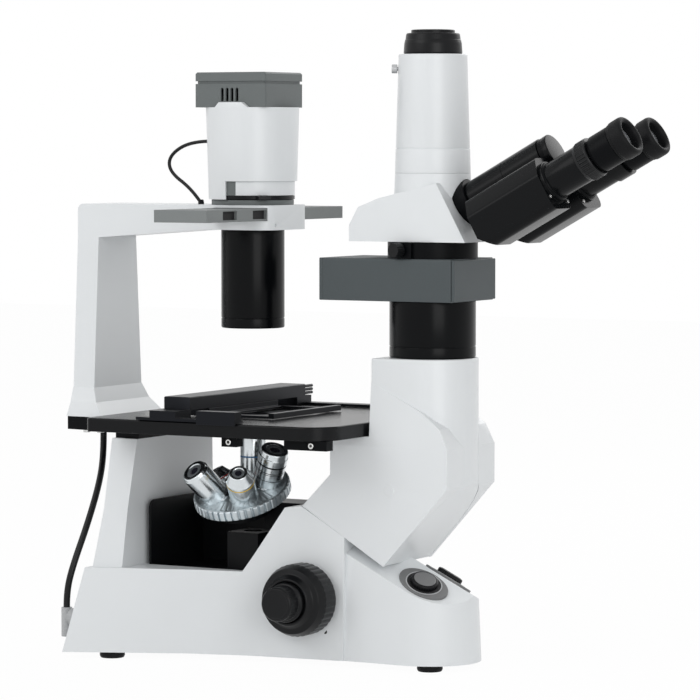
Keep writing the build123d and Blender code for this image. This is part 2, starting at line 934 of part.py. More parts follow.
with BuildPart() as column_side_covers:
    prism(upright(cover_face), cover_outline, 2 * cover_face)
    column_plan(column_top, Mode.SUBTRACT)
    for side in (-1, 1):
        wedge = [(side * column_radius, cover_fade), (side * cover_face, cover_side_top)]
        wedge += [(side * cover_face * 2, cover_side_top), (side * cover_face * 2, cover_fade)]
        prism(across(slab_foot_x), wedge, column_front_x, Mode.SUBTRACT)
        plug = Plane(
            origin=(light_x + plug_x, side * cover_face, plug_height),
            x_dir=(1, 0, 0),
            z_dir=(0, side, 0),
        )
        disc(plug, plug_radius, plug_rise)
finish("column_side_covers", column_side_covers)

# Stage
with BuildPart() as stage_plate:
    block(stage_rear_x, stage_front_x, -stage_half, stage_half, stage_bottom, stage_top)
    uprights = stage_plate.edges().filter_by(Axis.Z)
    fillet(uprights.sort_by(Axis.X)[2:], radius=stage_front_corner)
    fillet(stage_plate.edges().filter_by(Axis.Z).sort_by(Axis.X)[:2], radius=stage_rear_corner)
    chamfer(stage_plate.faces().sort_by(Axis.Z)[-1].edges(), length=stage_edge)
    insert_seat = light.offset(stage_top - insert_thickness)
    disc(insert_seat, insert_radius + seat_gap, stage_edge + insert_thickness, Mode.SUBTRACT)
    disc(light.offset(stage_bottom - cut_overrun), insert_radius - insert_ledge, stage_top, Mode.SUBTRACT)
finish("stage_plate", stage_plate)

with BuildPart() as stage_insert:
    disc(light.offset(stage_top - insert_thickness), insert_radius, insert_thickness)
    disc(light.offset(stage_bottom), insert_hole, stage_top, Mode.SUBTRACT)
finish("stage_insert", stage_insert)

with BuildPart() as stage_brackets:
    for x, length in ((rear_bracket_x, rear_bracket_length), (front_bracket_x, front_bracket_length)):
        for side in (-1, 1):
            mid = side * bracket_y
            block(
                x - length / 2, x + length / 2, mid - bracket_depth / 2, mid + bracket_depth / 2,
                stage_bottom - bracket_drop, stage_bottom,
            )
            head = Plane(
                origin=(light_x + x, mid + side * bracket_depth / 2, stage_bottom - bracket_drop / 2),
                x_dir=(1, 0, 0),
                z_dir=(0, side, 0),
            )
            disc(head, bracket_screw, bracket_screw_rise)
finish("stage_brackets", stage_brackets)

# Shelf, pillar and lamp arm
with BuildPart() as pillar_shelf:
    shelf_plan = both_sides([(-pillar_rear, shelf_rear_half), (leg_front_top_x, shelf_front_half)])
    prism(light.offset(leg_top), shelf_plan, shelf_top - leg_top)
    step = [(-pillar_rear, leg_top), (leg_rear_top_x - seat_gap, leg_top)]
    step += [(leg_rear_top_x - seat_gap, shelf_bottom)]
    prism(upright(plan_rear_half), step + [(-pillar_rear, shelf_bottom)], 2 * plan_rear_half, Mode.SUBTRACT)
    front = [(stage_rear_x - seat_gap, stage_bottom), (leg_front_top_x, stage_bottom)]
    front += [(leg_front_top_x, shelf_top), (stage_rear_x - seat_gap, shelf_top)]
    prism(upright(plan_rear_half), front, 2 * plan_rear_half, Mode.SUBTRACT)
    for x in (shelf_bolt_rear_x, shelf_bolt_front_x):
        for side in (-1, 1):
            bolt = Plane(origin=(light_x + x, side * shelf_bolt_y, shelf_bottom - shelf_bolt_drop))
            disc(bolt, shelf_bolt_radius, shelf_bolt_drop)
    gland = Plane(origin=(light_x + cable_gland_x, cable_gland_y, shelf_bottom - gland_height))
    disc(gland, gland_radius, gland_height)
finish("pillar_shelf", pillar_shelf)

with BuildPart() as illumination_pillar:
    arm_side = [(pillar_front_x, shelf_top), (pillar_front_x, arm_root_bottom), (arm_mid_x, arm_mid_bottom)]
    arm_side += [(arm_shoulder_x, arm_end_bottom), (arm_end_x, arm_end_bottom), (arm_end_x, arm_top)]
    arm_side += [(-pillar_rear, arm_top), (-pillar_rear, shelf_top)]
    prism(upright(pillar_low_half), arm_side, 2 * pillar_low_half)
    pillar_width = [(-pillar_low_half, shelf_top), (pillar_low_half, shelf_top)]
    pillar_width += [(pillar_top_half, arm_root_bottom), (arm_half, arm_root_bottom), (arm_half, arm_top)]
    pillar_width += [(-arm_half, arm_top), (-arm_half, arm_root_bottom), (-pillar_top_half, arm_root_bottom)]
    prism(across(-pillar_rear), pillar_width, 2 * pillar_rear, Mode.INTERSECT)
    narrow = [(-pillar_rear, pillar_low_half), (-pillar_rear, pillar_top_half)]
    narrow += [(pillar_front_x, pillar_top_half)]
    for side in (-1, 1):
        waist = [(x, side * y) for x, y in narrow + [(arm_end_x, arm_half), (arm_end_x, pillar_low_half)]]
        prism(light.offset(arm_root_bottom), waist, arm_top, Mode.SUBTRACT)
    fillet(illumination_pillar.edges().filter_by(Axis.Z).sort_by(Axis.X)[-2:], radius=arm_corner)
    back_top = illumination_pillar.edges().filter_by(Axis.Y).sort_by(Axis.X)[:2].sort_by(Axis.Z)[-1]
    fillet(back_top, radius=arm_edge * 2)
    with BuildPart(mode=Mode.PRIVATE) as flare:
        low_face = polygon(light.offset(shelf_top), both_sides([
            (-pillar_rear, pillar_low_half + flare_half_reach),
            (pillar_front_x + flare_reach, pillar_low_half + flare_half_reach),
        ]))
        share = flare_mid_share
        mid_face = polygon(light.offset(flare_mid), both_sides([
            (-pillar_rear, pillar_low_half + flare_half_reach * share),
            (pillar_front_x + flare_reach * share, pillar_low_half + flare_half_reach * share),
        ]))
        high_face = polygon(light.offset(flare_top), both_sides([
            (-pillar_rear, pillar_low_half - flare_edge), (pillar_front_x, pillar_low_half - flare_edge),
        ]))
        loft([low_face.face(), mid_face.face(), high_face.face()], ruled=True)
    add(flare.part)
    play = slider_play
    block(
        slider_rear_x - play, slider_front_x + play, -arm_half - cut_overrun, arm_half + cut_overrun,
        slider_bottom - play, slider_top + play, Mode.SUBTRACT,
    )
    disc(light.offset(arm_root_bottom), arm_bore, arm_top, Mode.SUBTRACT)
    screw_hole = Plane(
        origin=(light_x + arm_end_x, -set_screw_y, (arm_end_bottom + slider_bottom) / 2),
        x_dir=(0, 1, 0),
        z_dir=(-1, 0, 0),
    )
    disc(screw_hole, set_screw_radius, set_screw_depth, Mode.SUBTRACT)
finish("illumination_pillar", illumination_pillar)

# Condenser, slider and lamp stack
with BuildPart() as condenser_tube:
    inner = tube_radius - tube_wall
    outer_wall = [(tube_radius, tube_bottom), (tube_radius, tube_line)]
    outer_wall += [(tube_radius - tube_groove, tube_line)]
    outer_wall += [(tube_radius - tube_groove, tube_line + tube_groove_width)]
    outer_wall += [(tube_radius, tube_line + tube_groove_width), (tube_radius, arm_end_bottom)]
    turned(light, [(inner, tube_bottom)] + outer_wall + [(inner, arm_end_bottom)])
finish("condenser_tube", condenser_tube)

with BuildPart() as phase_slider:
    block(slider_rear_x, slider_front_x, -slider_near_reach, slider_far_reach, slider_bottom, slider_top)
    slider_middle = (slider_rear_x + slider_front_x) / 2
    for step in (-1, 0, 1):
        hole = Plane(origin=(light_x, step * slider_pitch, slider_bottom - cut_overrun))
        disc(hole, slider_aperture, slider_top, Mode.SUBTRACT)
    for row in (0, 1):
        near = slider_notch_start - slider_near_reach + row * (slider_notch_length + slider_notch_start)
        block(
            slider_front_x - slider_notch_depth, slider_front_x + cut_overrun, near,
            near + slider_notch_length, slider_bottom + slider_notch_margin,
            slider_top - slider_notch_margin, Mode.SUBTRACT,
        )
finish("phase_slider", phase_slider)

lever_bottom = arm_top + disc_height + seat_gap
with BuildPart() as aperture_lever:
    disc(light.offset(lever_bottom), lever_radius, lever_height)
    handle = Plane(origin=(light_x, 0, lever_bottom)).rotated((0, 0, lever_angle))
    with BuildSketch(handle) as tongue:
        with Locations((lever_reach / 2 + lever_radius / 2, 0)):
            Rectangle(lever_reach - lever_radius + lever_tongue, lever_tongue)
    extrude(tongue.sketch, amount=lever_height)
    disc(light.offset(lever_bottom), arm_bore, lever_height, Mode.SUBTRACT)
finish("aperture_lever", aperture_lever)

drum_low = lever_bottom + lever_height + seat_gap
with BuildPart() as lamp_rings:
    disc(light.offset(arm_top), disc_radius, disc_height)
    disc(light.offset(drum_low), drum_radius, lamp_floor - drum_low)
    disc(light.offset(arm_top), arm_bore, lamp_floor, Mode.SUBTRACT)
finish("lamp_rings", lamp_rings)

with BuildPart() as lamp_house:
    low_inner = drum_radius + lamp_inner_gap
    high_inner = lamp_top_radius - lamp_wall
    shell = [(low_inner, lamp_bottom), (lamp_low_radius, lamp_bottom), (lamp_top_radius, lamp_top)]
    turned(light, shell + [(high_inner, lamp_top)])
    deck_plane = light.offset(lamp_floor)
    disc(deck_plane, low_inner + running_gap, lamp_deck)
    disc(deck_plane, arm_bore, lamp_deck, Mode.SUBTRACT)
    reach = 2 * lamp_top_radius
    side = radians(window_side_angle)
    window = [(0, 0), (reach * cos(side), -reach * sin(side)), (reach, -reach)]
    window += [(reach, reach), (reach * cos(side), reach * sin(side))]
    sill = light.offset(lamp_bottom - cut_overrun)
    prism(sill, window, lamp_floor - lamp_bottom + cut_overrun, Mode.SUBTRACT)
    stub = Plane(origin=(light_x - lead_start, 0, lead_exit_height), x_dir=(0, 1, 0), z_dir=(1, 0, 0))
    disc(stub, gland_radius, lead_exit_stub)
    with BuildPart(mode=Mode.PRIVATE) as tab:
        tab_outline = [(-tab_low_half, lamp_top - lamp_wall), (-tab_low_half, lamp_top)]
        tab_outline += [(-tab_high_half, lamp_top + tab_rise), (tab_high_half, lamp_top + tab_rise)]
        tab_outline += [(tab_low_half, lamp_top), (tab_low_half, lamp_top - lamp_wall)]
        prism(upright(-cap_width / 2 - seat_gap), tab_outline, lamp_top_radius)
        tab_foot = light.offset(lamp_top - lamp_wall)
        disc(tab_foot, lamp_top_radius - tube_groove, lamp_wall + tab_rise, Mode.INTERSECT)
        disc(tab_foot, high_inner, lamp_wall, Mode.SUBTRACT)
    add(tab.part)
finish("lamp_house", lamp_house)

with BuildPart() as lamp_cap:
    cap_plane = Plane(origin=(light_x + cap_x, 0, lamp_top))
    with BuildSketch(cap_plane) as cap_plan:
        RectangleRounded(cap_length, cap_width, cap_corner)
    extrude(cap_plan.sketch, amount=cap_top - lamp_top)
    chamfer(lamp_cap.faces().sort_by(Axis.Z)[-1].edges(), length=cap_edge)
    with BuildSketch(cap_plane.offset(cap_groove_height - lamp_top)) as groove:
        Rectangle(2 * cap_length, 2 * cap_width)
        RectangleRounded(
            cap_length - 2 * cap_groove_depth, cap_width - 2 * cap_groove_depth, cap_corner,
            mode=Mode.SUBTRACT,
        )
    extrude(groove.sketch, amount=cap_groove_width, mode=Mode.SUBTRACT)
    with BuildSketch(cap_plane) as cap_room:
        Rectangle(cap_length - 4 * cap_wall, cap_width - 4 * cap_wall)
    extrude(cap_room.sketch, amount=cap_groove_height - lamp_top - cap_wall, mode=Mode.SUBTRACT)
    for index in range(vent_count):
        for side in (-1, 1):
            middle = cap_x + (index - (vent_count - 1) / 2) * vent_pitch
            slot_face = Plane(
                origin=(light_x + middle, side * cap_width / 2, vent_bottom + vent_height / 2),
                x_dir=(0, 0, 1),
                z_dir=(0, side, 0),
            )
            with BuildSketch(slot_face) as slot:
                SlotOverall(vent_height, vent_width)
            extrude(slot.sketch, amount=-vent_depth, mode=Mode.SUBTRACT)
finish("lamp_cap", lamp_cap)

led_seat = cap_groove_height - cap_wall
with BuildPart() as led_module:
    disc(light.offset(lamp_top - led_height), led_radius, led_height + led_seat - lamp_top)
    for index in range(led_fin_count):
        middle = (index - (led_fin_count - 1) / 2) * 2 * led_fin_width
        low = middle - led_fin_width / 2
        block(
            low, low + led_fin_width, -led_radius, led_radius,
            led_seat - led_fin_depth, led_seat, Mode.SUBTRACT,
        )
finish("led_module", led_module)

# Lenses, relay mirrors and power supply
with BuildPart() as lenses_and_mirrors:
    disc(light.offset(tube_bottom + tube_wall), inner - running_gap / 2, condenser_glass)
    disc(light.offset(lamp_floor + lamp_deck), collector_radius, collector_height)
    low_mirror = (0, mirror_height, box_half - 3 * liner)
    for x, height, size in (low_mirror, (column_offset, column_mirror, column_bore / 2)):
        mirror_plane = Plane(
            origin=(light_x + x, 0, height),
            x_dir=(0, 1, 0),
            z_dir=(-1 if x else 1, 0, 1),
        )
        disc(mirror_plane, size, liner)
        post = Plane(origin=(light_x + x, 0, pocket_floor + liner_floor if not x else column_bore_floor))
        disc(post, size / 2, height - post.origin.Z)
finish("lenses_and_mirrors", lenses_and_mirrors)

with BuildPart() as power_supply:
    block(
        supply_x, supply_x + supply_length, -supply_half, supply_half,
        foot_height + plate_thickness, foot_height + plate_thickness + supply_height,
    )
finish("power_supply", power_supply)

with BuildPart() as rear_sockets:
    block(
        plan_rear_x, plan_rear_x + inlet_depth, inlet_y - inlet_width / 2, inlet_y + inlet_width / 2,
        inlet_height - inlet_tall / 2, inlet_height + inlet_tall / 2,
    )
    room = inlet_flange
    block(
        plan_rear_x - cut_overrun, plan_rear_x + inlet_depth - 3 * room, inlet_y - inlet_width / 2 + room,
        inlet_y + inlet_width / 2 - room, inlet_height - inlet_tall / 2 + room,
        inlet_height + inlet_tall / 2 - room, Mode.SUBTRACT,
    )
    for pin in (-1, 0, 1):
        prong = pin * inlet_width / 4
        block(
            plan_rear_x + 2 * room, plan_rear_x + inlet_depth, inlet_y + prong - room / 2,
            inlet_y + prong + room / 2, inlet_height - room, inlet_height + room,
        )
    disc(socket_plane(plan_rear_x), socket_radius, inlet_depth - cut_overrun)
finish("rear_sockets", rear_sockets)

with BuildPart() as rear_connector:
    body = Plane(origin=(light_x + plug_body_x, socket_y, plug_body_low))
    disc(body, plug_body_radius, plug_body_high - plug_body_low)
    disc(socket_plane(plan_rear_x - plug_nut - seat_gap), socket_radius, plug_nut)
    disc(socket_plane(plug_body_x), plug_body_radius, plan_rear_x - plug_nut - plug_body_x)
finish("rear_connector", rear_connector)


def run_radii(points):
    """Bend radii that fit the straight runs of a lead, with the arcs short of half of each run."""
    radii = []
    for before, here, after in zip(points, points[1:], points[2:]):
        incoming = here - before
        outgoing = after - here
        shorter = min(incoming.length, outgoing.length)
        radii.append(bend_share * shorter / tan(radians(incoming.get_angle(outgoing)) / 2))
    return radii


def lead(name, route, radius):
    """A round lead along straight runs and tangent arcs."""
    points = [Vector(light_x + x, y, z) for x, y, z in route]
    radii = run_radii(points)
    with BuildPart() as cord:
        with BuildLine():
            path = FilletPolyline(*points, radius=radii)
        with BuildSketch(Plane(origin=points[0], z_dir=points[1] - points[0])) as section:
            Circle(radius)
        sweep(section.sketch, path=path)
    cord.part.label = name
    export_step(cord.part, "parts/" + name + ".step")
    whole = section.sketch.area * path.length
    share = round(cord.part.volume / whole, 4)
    print(name, "radii", [round(bend, 1) for bend in radii], "filled share", share)


lead("lamp_lead", lamp_lead_route, lead_radius)
lead("rear_cable", rear_cable_route, cable_radius)

# Dimmers on the lobe roof
with BuildPart() as dimmer_bezels:
    for side in (-1, 1):
        seat = roof_plane(side)
        with BuildSketch(seat.offset(-bezel_sink)) as bezel_plan:
            Ellipse(bezel_long, bezel_short)
        extrude(bezel_plan.sketch, amount=bezel_sink + bezel_rise)
        disc(seat.offset(bezel_recess), dimmer_radius + 2 * seat_gap, bezel_rise, Mode.SUBTRACT)
        disc(seat.offset(-2 * bezel_sink), dimmer_stem + running_gap, 4 * bezel_sink, Mode.SUBTRACT)
finish("dimmer_bezels", dimmer_bezels)

for name, side in (("left_dimmer_knob", -1), ("right_dimmer_knob", 1)):
    with BuildPart() as dimmer:
        seat = roof_plane(side)
        disc(seat.offset(bezel_recess + seat_gap), dimmer_radius, dimmer_height)
        grooves = seat.offset(bezel_recess)
        scallops(grooves, dimmer_radius, dimmer_grip, dimmer_grip_bite, dimmer_grip_count, 2 * dimmer_height)
        disc(seat.offset(-dimmer_stem_length), dimmer_stem, dimmer_stem_length + dimmer_height)
    finish(name, dimmer)

# Optics over the column
with BuildPart() as field_tube:
    low_radius = field_radius - field_edge
    wall = [(low_radius, column_top), (field_radius, column_top + field_edge), (field_radius, field_line)]
    wall += [(field_radius - tube_groove, field_line)]
    wall += [(field_radius - tube_groove, field_line + tube_groove_width)]
    wall += [(field_radius, field_line + tube_groove_width), (field_radius, unit_bottom)]
    bore_radius = field_radius - field_wall
    turned(column, [(bore_radius, column_top)] + wall + [(bore_radius, unit_bottom)])
finish("field_tube", field_tube)

with BuildPart() as fluorescence_housing:
    block(unit_rear_x + unit_cover, unit_front_x, -unit_half, unit_half, unit_bottom, unit_top)
    chamfer(fluorescence_housing.edges().filter_by(Axis.X).sort_by(Axis.Z)[-2:], length=unit_edge)
    block(
        unit_rear_x + unit_cover - cut_overrun, unit_front_x - unit_wall, unit_wall - unit_half,
        unit_half - unit_wall, unit_bottom + unit_wall, unit_top - unit_wall, Mode.SUBTRACT,
    )
    disc(column.offset(unit_bottom - cut_overrun), ring_bore, 2 * unit_half, Mode.SUBTRACT)
finish("fluorescence_housing", fluorescence_housing)

with BuildPart() as fluorescence_end_covers:
    margin = unit_cover_margin
    block(unit_rear_x, unit_rear_x + unit_cover, -unit_half, unit_half, unit_bottom, unit_top)
    block(
        unit_front_x, unit_front_x + unit_cover - margin, margin - unit_half, unit_half - margin,
        unit_bottom + margin, unit_top - margin,
    )
finish("fluorescence_end_covers", fluorescence_end_covers)

with BuildPart() as filter_cube:
    cube_low = unit_bottom + unit_wall
    cube_high = unit_top - unit_wall
    half = cube_length / 2
    block(column_offset - half, column_offset + half, -half, half, cube_low, cube_high)
    disc(column.offset(cube_low), cube_window, cube_high, Mode.SUBTRACT)
finish("filter_cube", filter_cube)

with BuildPart() as head_clamp_ring:
    with BuildSketch(column.offset(unit_top)) as ring_plan:
        Circle(clamp_ring_radius)
        Circle(ring_bore + running_gap, mode=Mode.SUBTRACT)
    extrude(ring_plan.sketch, amount=ring_top - unit_top)
    disc(clamp_plane(ring_bore), clamp_stem + running_gap, clamp_ring_radius, Mode.SUBTRACT)
    block(
        column_offset + ring_slot_x, column_offset + ring_slot_x + ring_slot_length, -clamp_ring_radius,
        ring_slot_depth - clamp_ring_radius, unit_top, ring_top, Mode.SUBTRACT,
    )
finish("head_clamp_ring", head_clamp_ring)

with BuildPart() as head_clamp_screw:
    disc(clamp_plane(clamp_start + clamp_boss), clamp_radius, clamp_head)
    grooves = clamp_plane(clamp_start)
    scallops(grooves, clamp_radius, clamp_grip_radius, clamp_grip_bite, clamp_grip_count, 2 * clamp_head)
    disc(clamp_plane(ring_bore + running_gap), clamp_stem, clamp_start + clamp_boss - ring_bore)
finish("head_clamp_screw", head_clamp_screw)

# Head, camera tube and its cap
with BuildPart() as head_body:
    head_side = [(head_rear_x, head_bottom), (head_rear_x, head_rear_low), (head_shoulder_x, head_shoulder)]
    head_side += [(head_deck_x, head_deck), (head_crest_x, head_crest), (head_foot_x, head_bottom)]
    prism(upright(head_half), head_side, 2 * head_half)
    rims = head_body.edges().filter_by(Axis.Y).sort_by(Axis.Z)[2:5]
    fillet(rims, radius=head_edge)
    skirt = [(photo_flare_radius, head_shoulder), (photo_flare_radius, photo_low)]
    skirt += [(photo_radius, photo_flare_top), (photo_bore, photo_flare_top), (photo_bore, head_shoulder)]
    turned(column, skirt)
    spigot = ring_bore - running_gap
    disc(column.offset(unit_top + seat_gap), spigot, head_bottom - unit_top)
    disc(column.offset(unit_top), light_path, photo_flare_top, Mode.SUBTRACT)
    disc(hinge.offset(hub_start), hub_radius + seat_gap, hub_radius, Mode.SUBTRACT)
finish("head_body", head_body)

with BuildPart() as phototube:
    seam = photo_seam + tube_groove_width
    taper = (photo_radius - photo_top_radius) / (photo_top - photo_flare_top)
    at_seam = photo_radius - taper * (photo_seam - photo_flare_top)
    tube = [(photo_radius, photo_flare_top), (at_seam, photo_seam), (at_seam - tube_groove, photo_seam)]
    tube += [(at_seam - tube_groove, seam), (at_seam, seam), (photo_top_radius, photo_top - tube_groove)]
    tube += [(photo_top_radius - tube_groove, photo_top)]
    turned(column, [(photo_bore, photo_flare_top)] + tube + [(photo_bore, photo_top)])
    screw_hole = photo_screw_plane(photo_bore - cut_overrun)
    disc(screw_hole, photo_screw_stem + running_gap, photo_top_radius, Mode.SUBTRACT)
finish("phototube", phototube)

with BuildPart() as phototube_cap:
    lid = [(cap_radius, photo_top + seat_gap), (cap_radius, cap_shoulder), (cap_crown_radius, cap_crown)]
    lid += [(cap_lid_radius, cap_crown), (cap_lid_radius, cap_lid)]
    plug_inner = photo_bore - running_gap
    plug = [(0, photo_top - cap_stem), (plug_inner, photo_top - cap_stem), (plug_inner, photo_top + seat_gap)]
    turned(column, plug + lid + [(0, cap_lid)])
finish("phototube_cap", phototube_cap)

with BuildPart() as phototube_screw:
    disc(photo_screw_plane(photo_top_radius + seat_gap * 2), photo_screw_radius, photo_screw_length)
    stem_length = photo_top_radius - photo_bore + cut_overrun
    disc(photo_screw_plane(photo_bore + running_gap), photo_screw_stem, stem_length)
finish("phototube_screw", phototube_screw)

# Binocular: a hub with the hinge shaft and two prism housings that swing on it
with BuildPart() as binocular_hub:
    disc(hinge.offset(hub_start), hub_radius, -hub_start + barrel_start - seat_gap)
    disc(hinge.offset(barrel_start - cut_overrun), hinge_shaft_radius, housing_end + hinge_cap - barrel_start)
    cap_seat = barrel_end + seat_gap
    disc(hinge.offset(cap_seat), hinge_cap_radius, housing_end + hinge_cap - cap_seat)
finish("binocular_hub", binocular_hub)

for name, side, start, end in (
    ("left_prism_housing", -1, barrel_start, barrel_middle - seat_gap / 2),
    ("right_prism_housing", 1, barrel_middle + seat_gap / 2, barrel_end),
):
    with BuildPart() as housing:
        inner = tan(radians(housing_waist_angle))
        half_outline = [(inner * barrel_radius, -barrel_radius), (inner * housing_floor, -housing_floor)]
        half_outline += [(housing_outer, -housing_floor), (housing_outer, -housing_outer_drop)]
        half_outline += [(housing_crown, -housing_top_drop), (barrel_radius, -housing_top_drop)]
        with BuildSketch(hinge.offset(housing_start)) as section:
            with BuildLine():
                FilletPolyline(*[(side * x, y) for x, y in half_outline], radius=housing_corner, close=True)
            make_face()
        extrude(section.sketch, amount=housing_end - housing_start)
        heel = Plane(origin=hinge_point, x_dir=hinge_direction, z_dir=(0, -1, 0))
        heel_points = [(housing_start, -housing_heel), (housing_start + housing_heel_length, -housing_floor)]
        heel_points += [(housing_start + housing_heel_length, -2 * housing_floor)]
        heel_points += [(housing_start, -2 * housing_floor)]
        heel_side = heel.offset(-2 * housing_outer)
        prism(heel_side, heel_points, 4 * housing_outer, Mode.SUBTRACT)
        barrel_room = hinge.offset(housing_start - cut_overrun)
        disc(barrel_room, barrel_radius + housing_bore_gap, 2 * housing_end, Mode.SUBTRACT)
        disc(hinge.offset(start), barrel_radius, end - start)
        lug = [(0, 0), (side * inner * (barrel_radius + cut_overrun), -barrel_radius - cut_overrun)]
        lug += [(side * (barrel_radius + cut_overrun), -housing_top_drop - cut_overrun)]
        lug_start = max(start, housing_start)
        prism(hinge.offset(lug_start), lug, end - lug_start)
        bore_length = end - start + 2 * cut_overrun
        disc(hinge.offset(start - cut_overrun), hinge_shaft_radius + running_gap, bore_length, Mode.SUBTRACT)
        eye = eye_plane(side)
        disc(eye.offset(housing_end), flange_radius, flange_length)
        disc(eye.offset(housing_end), eye_tube_radius, eye_tube_end - housing_end)
        if side > 0:
            disc(eye.offset(eye_tube_end), diopter_radius, diopter_end - eye_tube_end)
        disc(eye.offset(housing_end), eyepiece_stem + running_gap, eyepiece_neck - housing_end, Mode.SUBTRACT)
    finish(name, housing)

with BuildPart() as left_diopter_ring:
    eye = eye_plane(-1)
    disc(eye.offset(eye_tube_end + seat_gap), diopter_radius, diopter_end - eye_tube_end - seat_gap)
    scallops(
        eye.offset(eye_tube_end), diopter_radius, diopter_grip_radius, diopter_grip_bite,
        diopter_grip_count, 2 * diopter_radius,
    )
    disc(eye.offset(eye_tube_end), eyepiece_stem + running_gap, diopter_end, Mode.SUBTRACT)
finish("left_diopter_ring", left_diopter_ring)

for name, side in (("left_eyepiece", -1), ("right_eyepiece", 1)):
    with BuildPart() as eyepiece:
        profile = [(0, eye_tube_end), (eyepiece_stem, eye_tube_end), (eyepiece_stem, diopter_end + seat_gap)]
        profile += [(eyepiece_neck_radius, diopter_end + seat_gap), (eyepiece_neck_radius, eyepiece_neck)]
        profile += [(eyepiece_radius, eyepiece_neck), (eyepiece_radius, eyecup_start)]
        profile += [(eyecup_radius, eyecup_start)]
        profile += [(eyecup_radius, eyecup_front), (eyecup_lip, eyecup_front)]
        profile += [(eyecup_throat, eyecup_front - eyecup_depth), (0, eyecup_front - eyecup_depth)]
        turned(eye_plane(side), profile)
    finish(name, eyepiece)

# Nosepiece: guide, carriage with its mount, turret and objectives
with BuildPart() as focus_guide:
    block(
        carriage_front_x - guide_half + seat_gap, carriage_front_x + seat_gap, -guide_half, guide_half,
        guide_low, guide_high,
    )
finish("focus_guide", focus_guide)

mount_top = nose_plane - turret_rim - mount_gap
with BuildPart() as focus_carriage:
    block(carriage_rear_x, carriage_front_x, -arm_near_y, arm_far_y, carriage_low, carriage_high)
    groove = guide_half + guide_fit
    block(
        carriage_front_x - guide_half, carriage_front_x + cut_overrun, -groove, groove,
        carriage_low + groove, carriage_high + cut_overrun, Mode.SUBTRACT,
    )
    block(arm_start_x, carriage_rear_x + cut_overrun, -arm_near_y, arm_far_y, arm_low, arm_high)
    block(rack_rear_x, rack_front_x - seat_gap, -rack_width, rack_width, rack_low, rack_high)
    block(rack_rear_x, carriage_front_x, -rack_width, rack_width, rack_high, carriage_low + cut_overrun)
    disc(nose.offset(mount_top), turret_radius + mount_gap, turret_radius, Mode.SUBTRACT)
    disc(nose.offset(mount_top), mount_radius, -mount_thickness)
    disc(nose.offset(mount_top), turret_pin, pin_length)
    disc(light.offset(arm_low - light_bore), light_bore, nose_apex, Mode.SUBTRACT)
finish("focus_carriage", focus_carriage)

with BuildPart() as nosepiece_turret:
    rim_low = nose_plane - turret_rim / 2
    rim_top = nose_plane + turret_rim / 2
    bowl = [(0, mount_top + mount_gap), (turret_bowl_radius, mount_top + mount_gap)]
    bowl += [(turret_bowl_radius + rim_step, rim_low), (turret_radius, rim_low)]
    bowl += [(turret_radius, rim_top), (turret_radius - rim_step, rim_top)]
    bowl += [(turret_crown_radius, rim_top + turret_crown), (0, rim_top + turret_crown)]
    turned(nose, bowl)
    for index in range(turret_positions):
        disc(station(index).offset(boss_root), boss_radius, boss_seat - boss_root)
    for index in range(turret_positions):
        disc(station(index).offset(boss_seat), boss_radius, boss_radius, Mode.SUBTRACT)
        thread = station(index).offset(boss_root - 2 * boss_radius)
        disc(thread, thread_radius + running_gap, boss_seat, Mode.SUBTRACT)
    disc(nose.offset(mount_top + mount_gap), turret_radius, -turret_radius, Mode.SUBTRACT)
    grooves = nose.offset(rim_low - cut_overrun)
    scallops(grooves, turret_radius, turret_grip_radius, turret_grip_bite, turret_grip_count, 2 * turret_rim)
    disc(nose.offset(mount_top), turret_pin + running_gap, pin_length + seat_gap, Mode.SUBTRACT)
finish("nosepiece_turret", nosepiece_turret)

for index, name in enumerate(objective_names):
    with BuildPart() as objective:
        reach = objective_lengths[index]
        radius = objective_radii[index]
        shoulder = boss_seat + reach * objective_shoulder_shares[index]
        tip = boss_seat + reach
        nose_radius = radius * objective_nose_shares[index]
        collar = boss_seat + objective_collar
        groove = radius - objective_groove
        profile = [(0, boss_seat - thread_length), (thread_radius, boss_seat - thread_length)]
        profile += [(thread_radius, boss_seat), (radius, boss_seat), (radius, collar), (groove, collar)]
        profile += [(groove, collar + objective_groove), (radius, collar + objective_groove)]
        profile += [(radius, shoulder)]
        profile += [(nose_radius, tip), (radius * lens_radius_share, tip)]
        profile += [(radius * lens_radius_share, tip - lens_recess), (0, tip - lens_recess)]
        turned(station(index), profile)
    finish(name, objective)

# Focus drive
with BuildPart() as focus_shaft:
    disc(drive_axis(-coarse_start), focus_shaft_radius, 2 * coarse_start)
    narrow = focus_shaft_radius - pinion_radius
    for side in (-1, 1):
        low = min(side * pinion_width, side * neck_end)
        disc(drive_axis(low), focus_shaft_radius + cut_overrun, neck_end - pinion_width, Mode.SUBTRACT)
        disc(drive_axis(low - cut_overrun), pinion_radius, neck_end - pinion_width + 2 * cut_overrun)
    pinion_start = -pinion_width - cut_overrun
    disc(drive_axis(pinion_start), focus_shaft_radius + cut_overrun, -2 * pinion_start, Mode.SUBTRACT)
    disc(drive_axis(pinion_start - cut_overrun), pinion_radius, 2 * cut_overrun - 2 * pinion_start)
    shaft_bore = fine_shaft_radius + running_gap
    shaft_reach = coarse_start + cut_overrun
    disc(drive_axis(-shaft_reach), shaft_bore, 2 * shaft_reach, Mode.SUBTRACT)
finish("focus_shaft", focus_shaft)

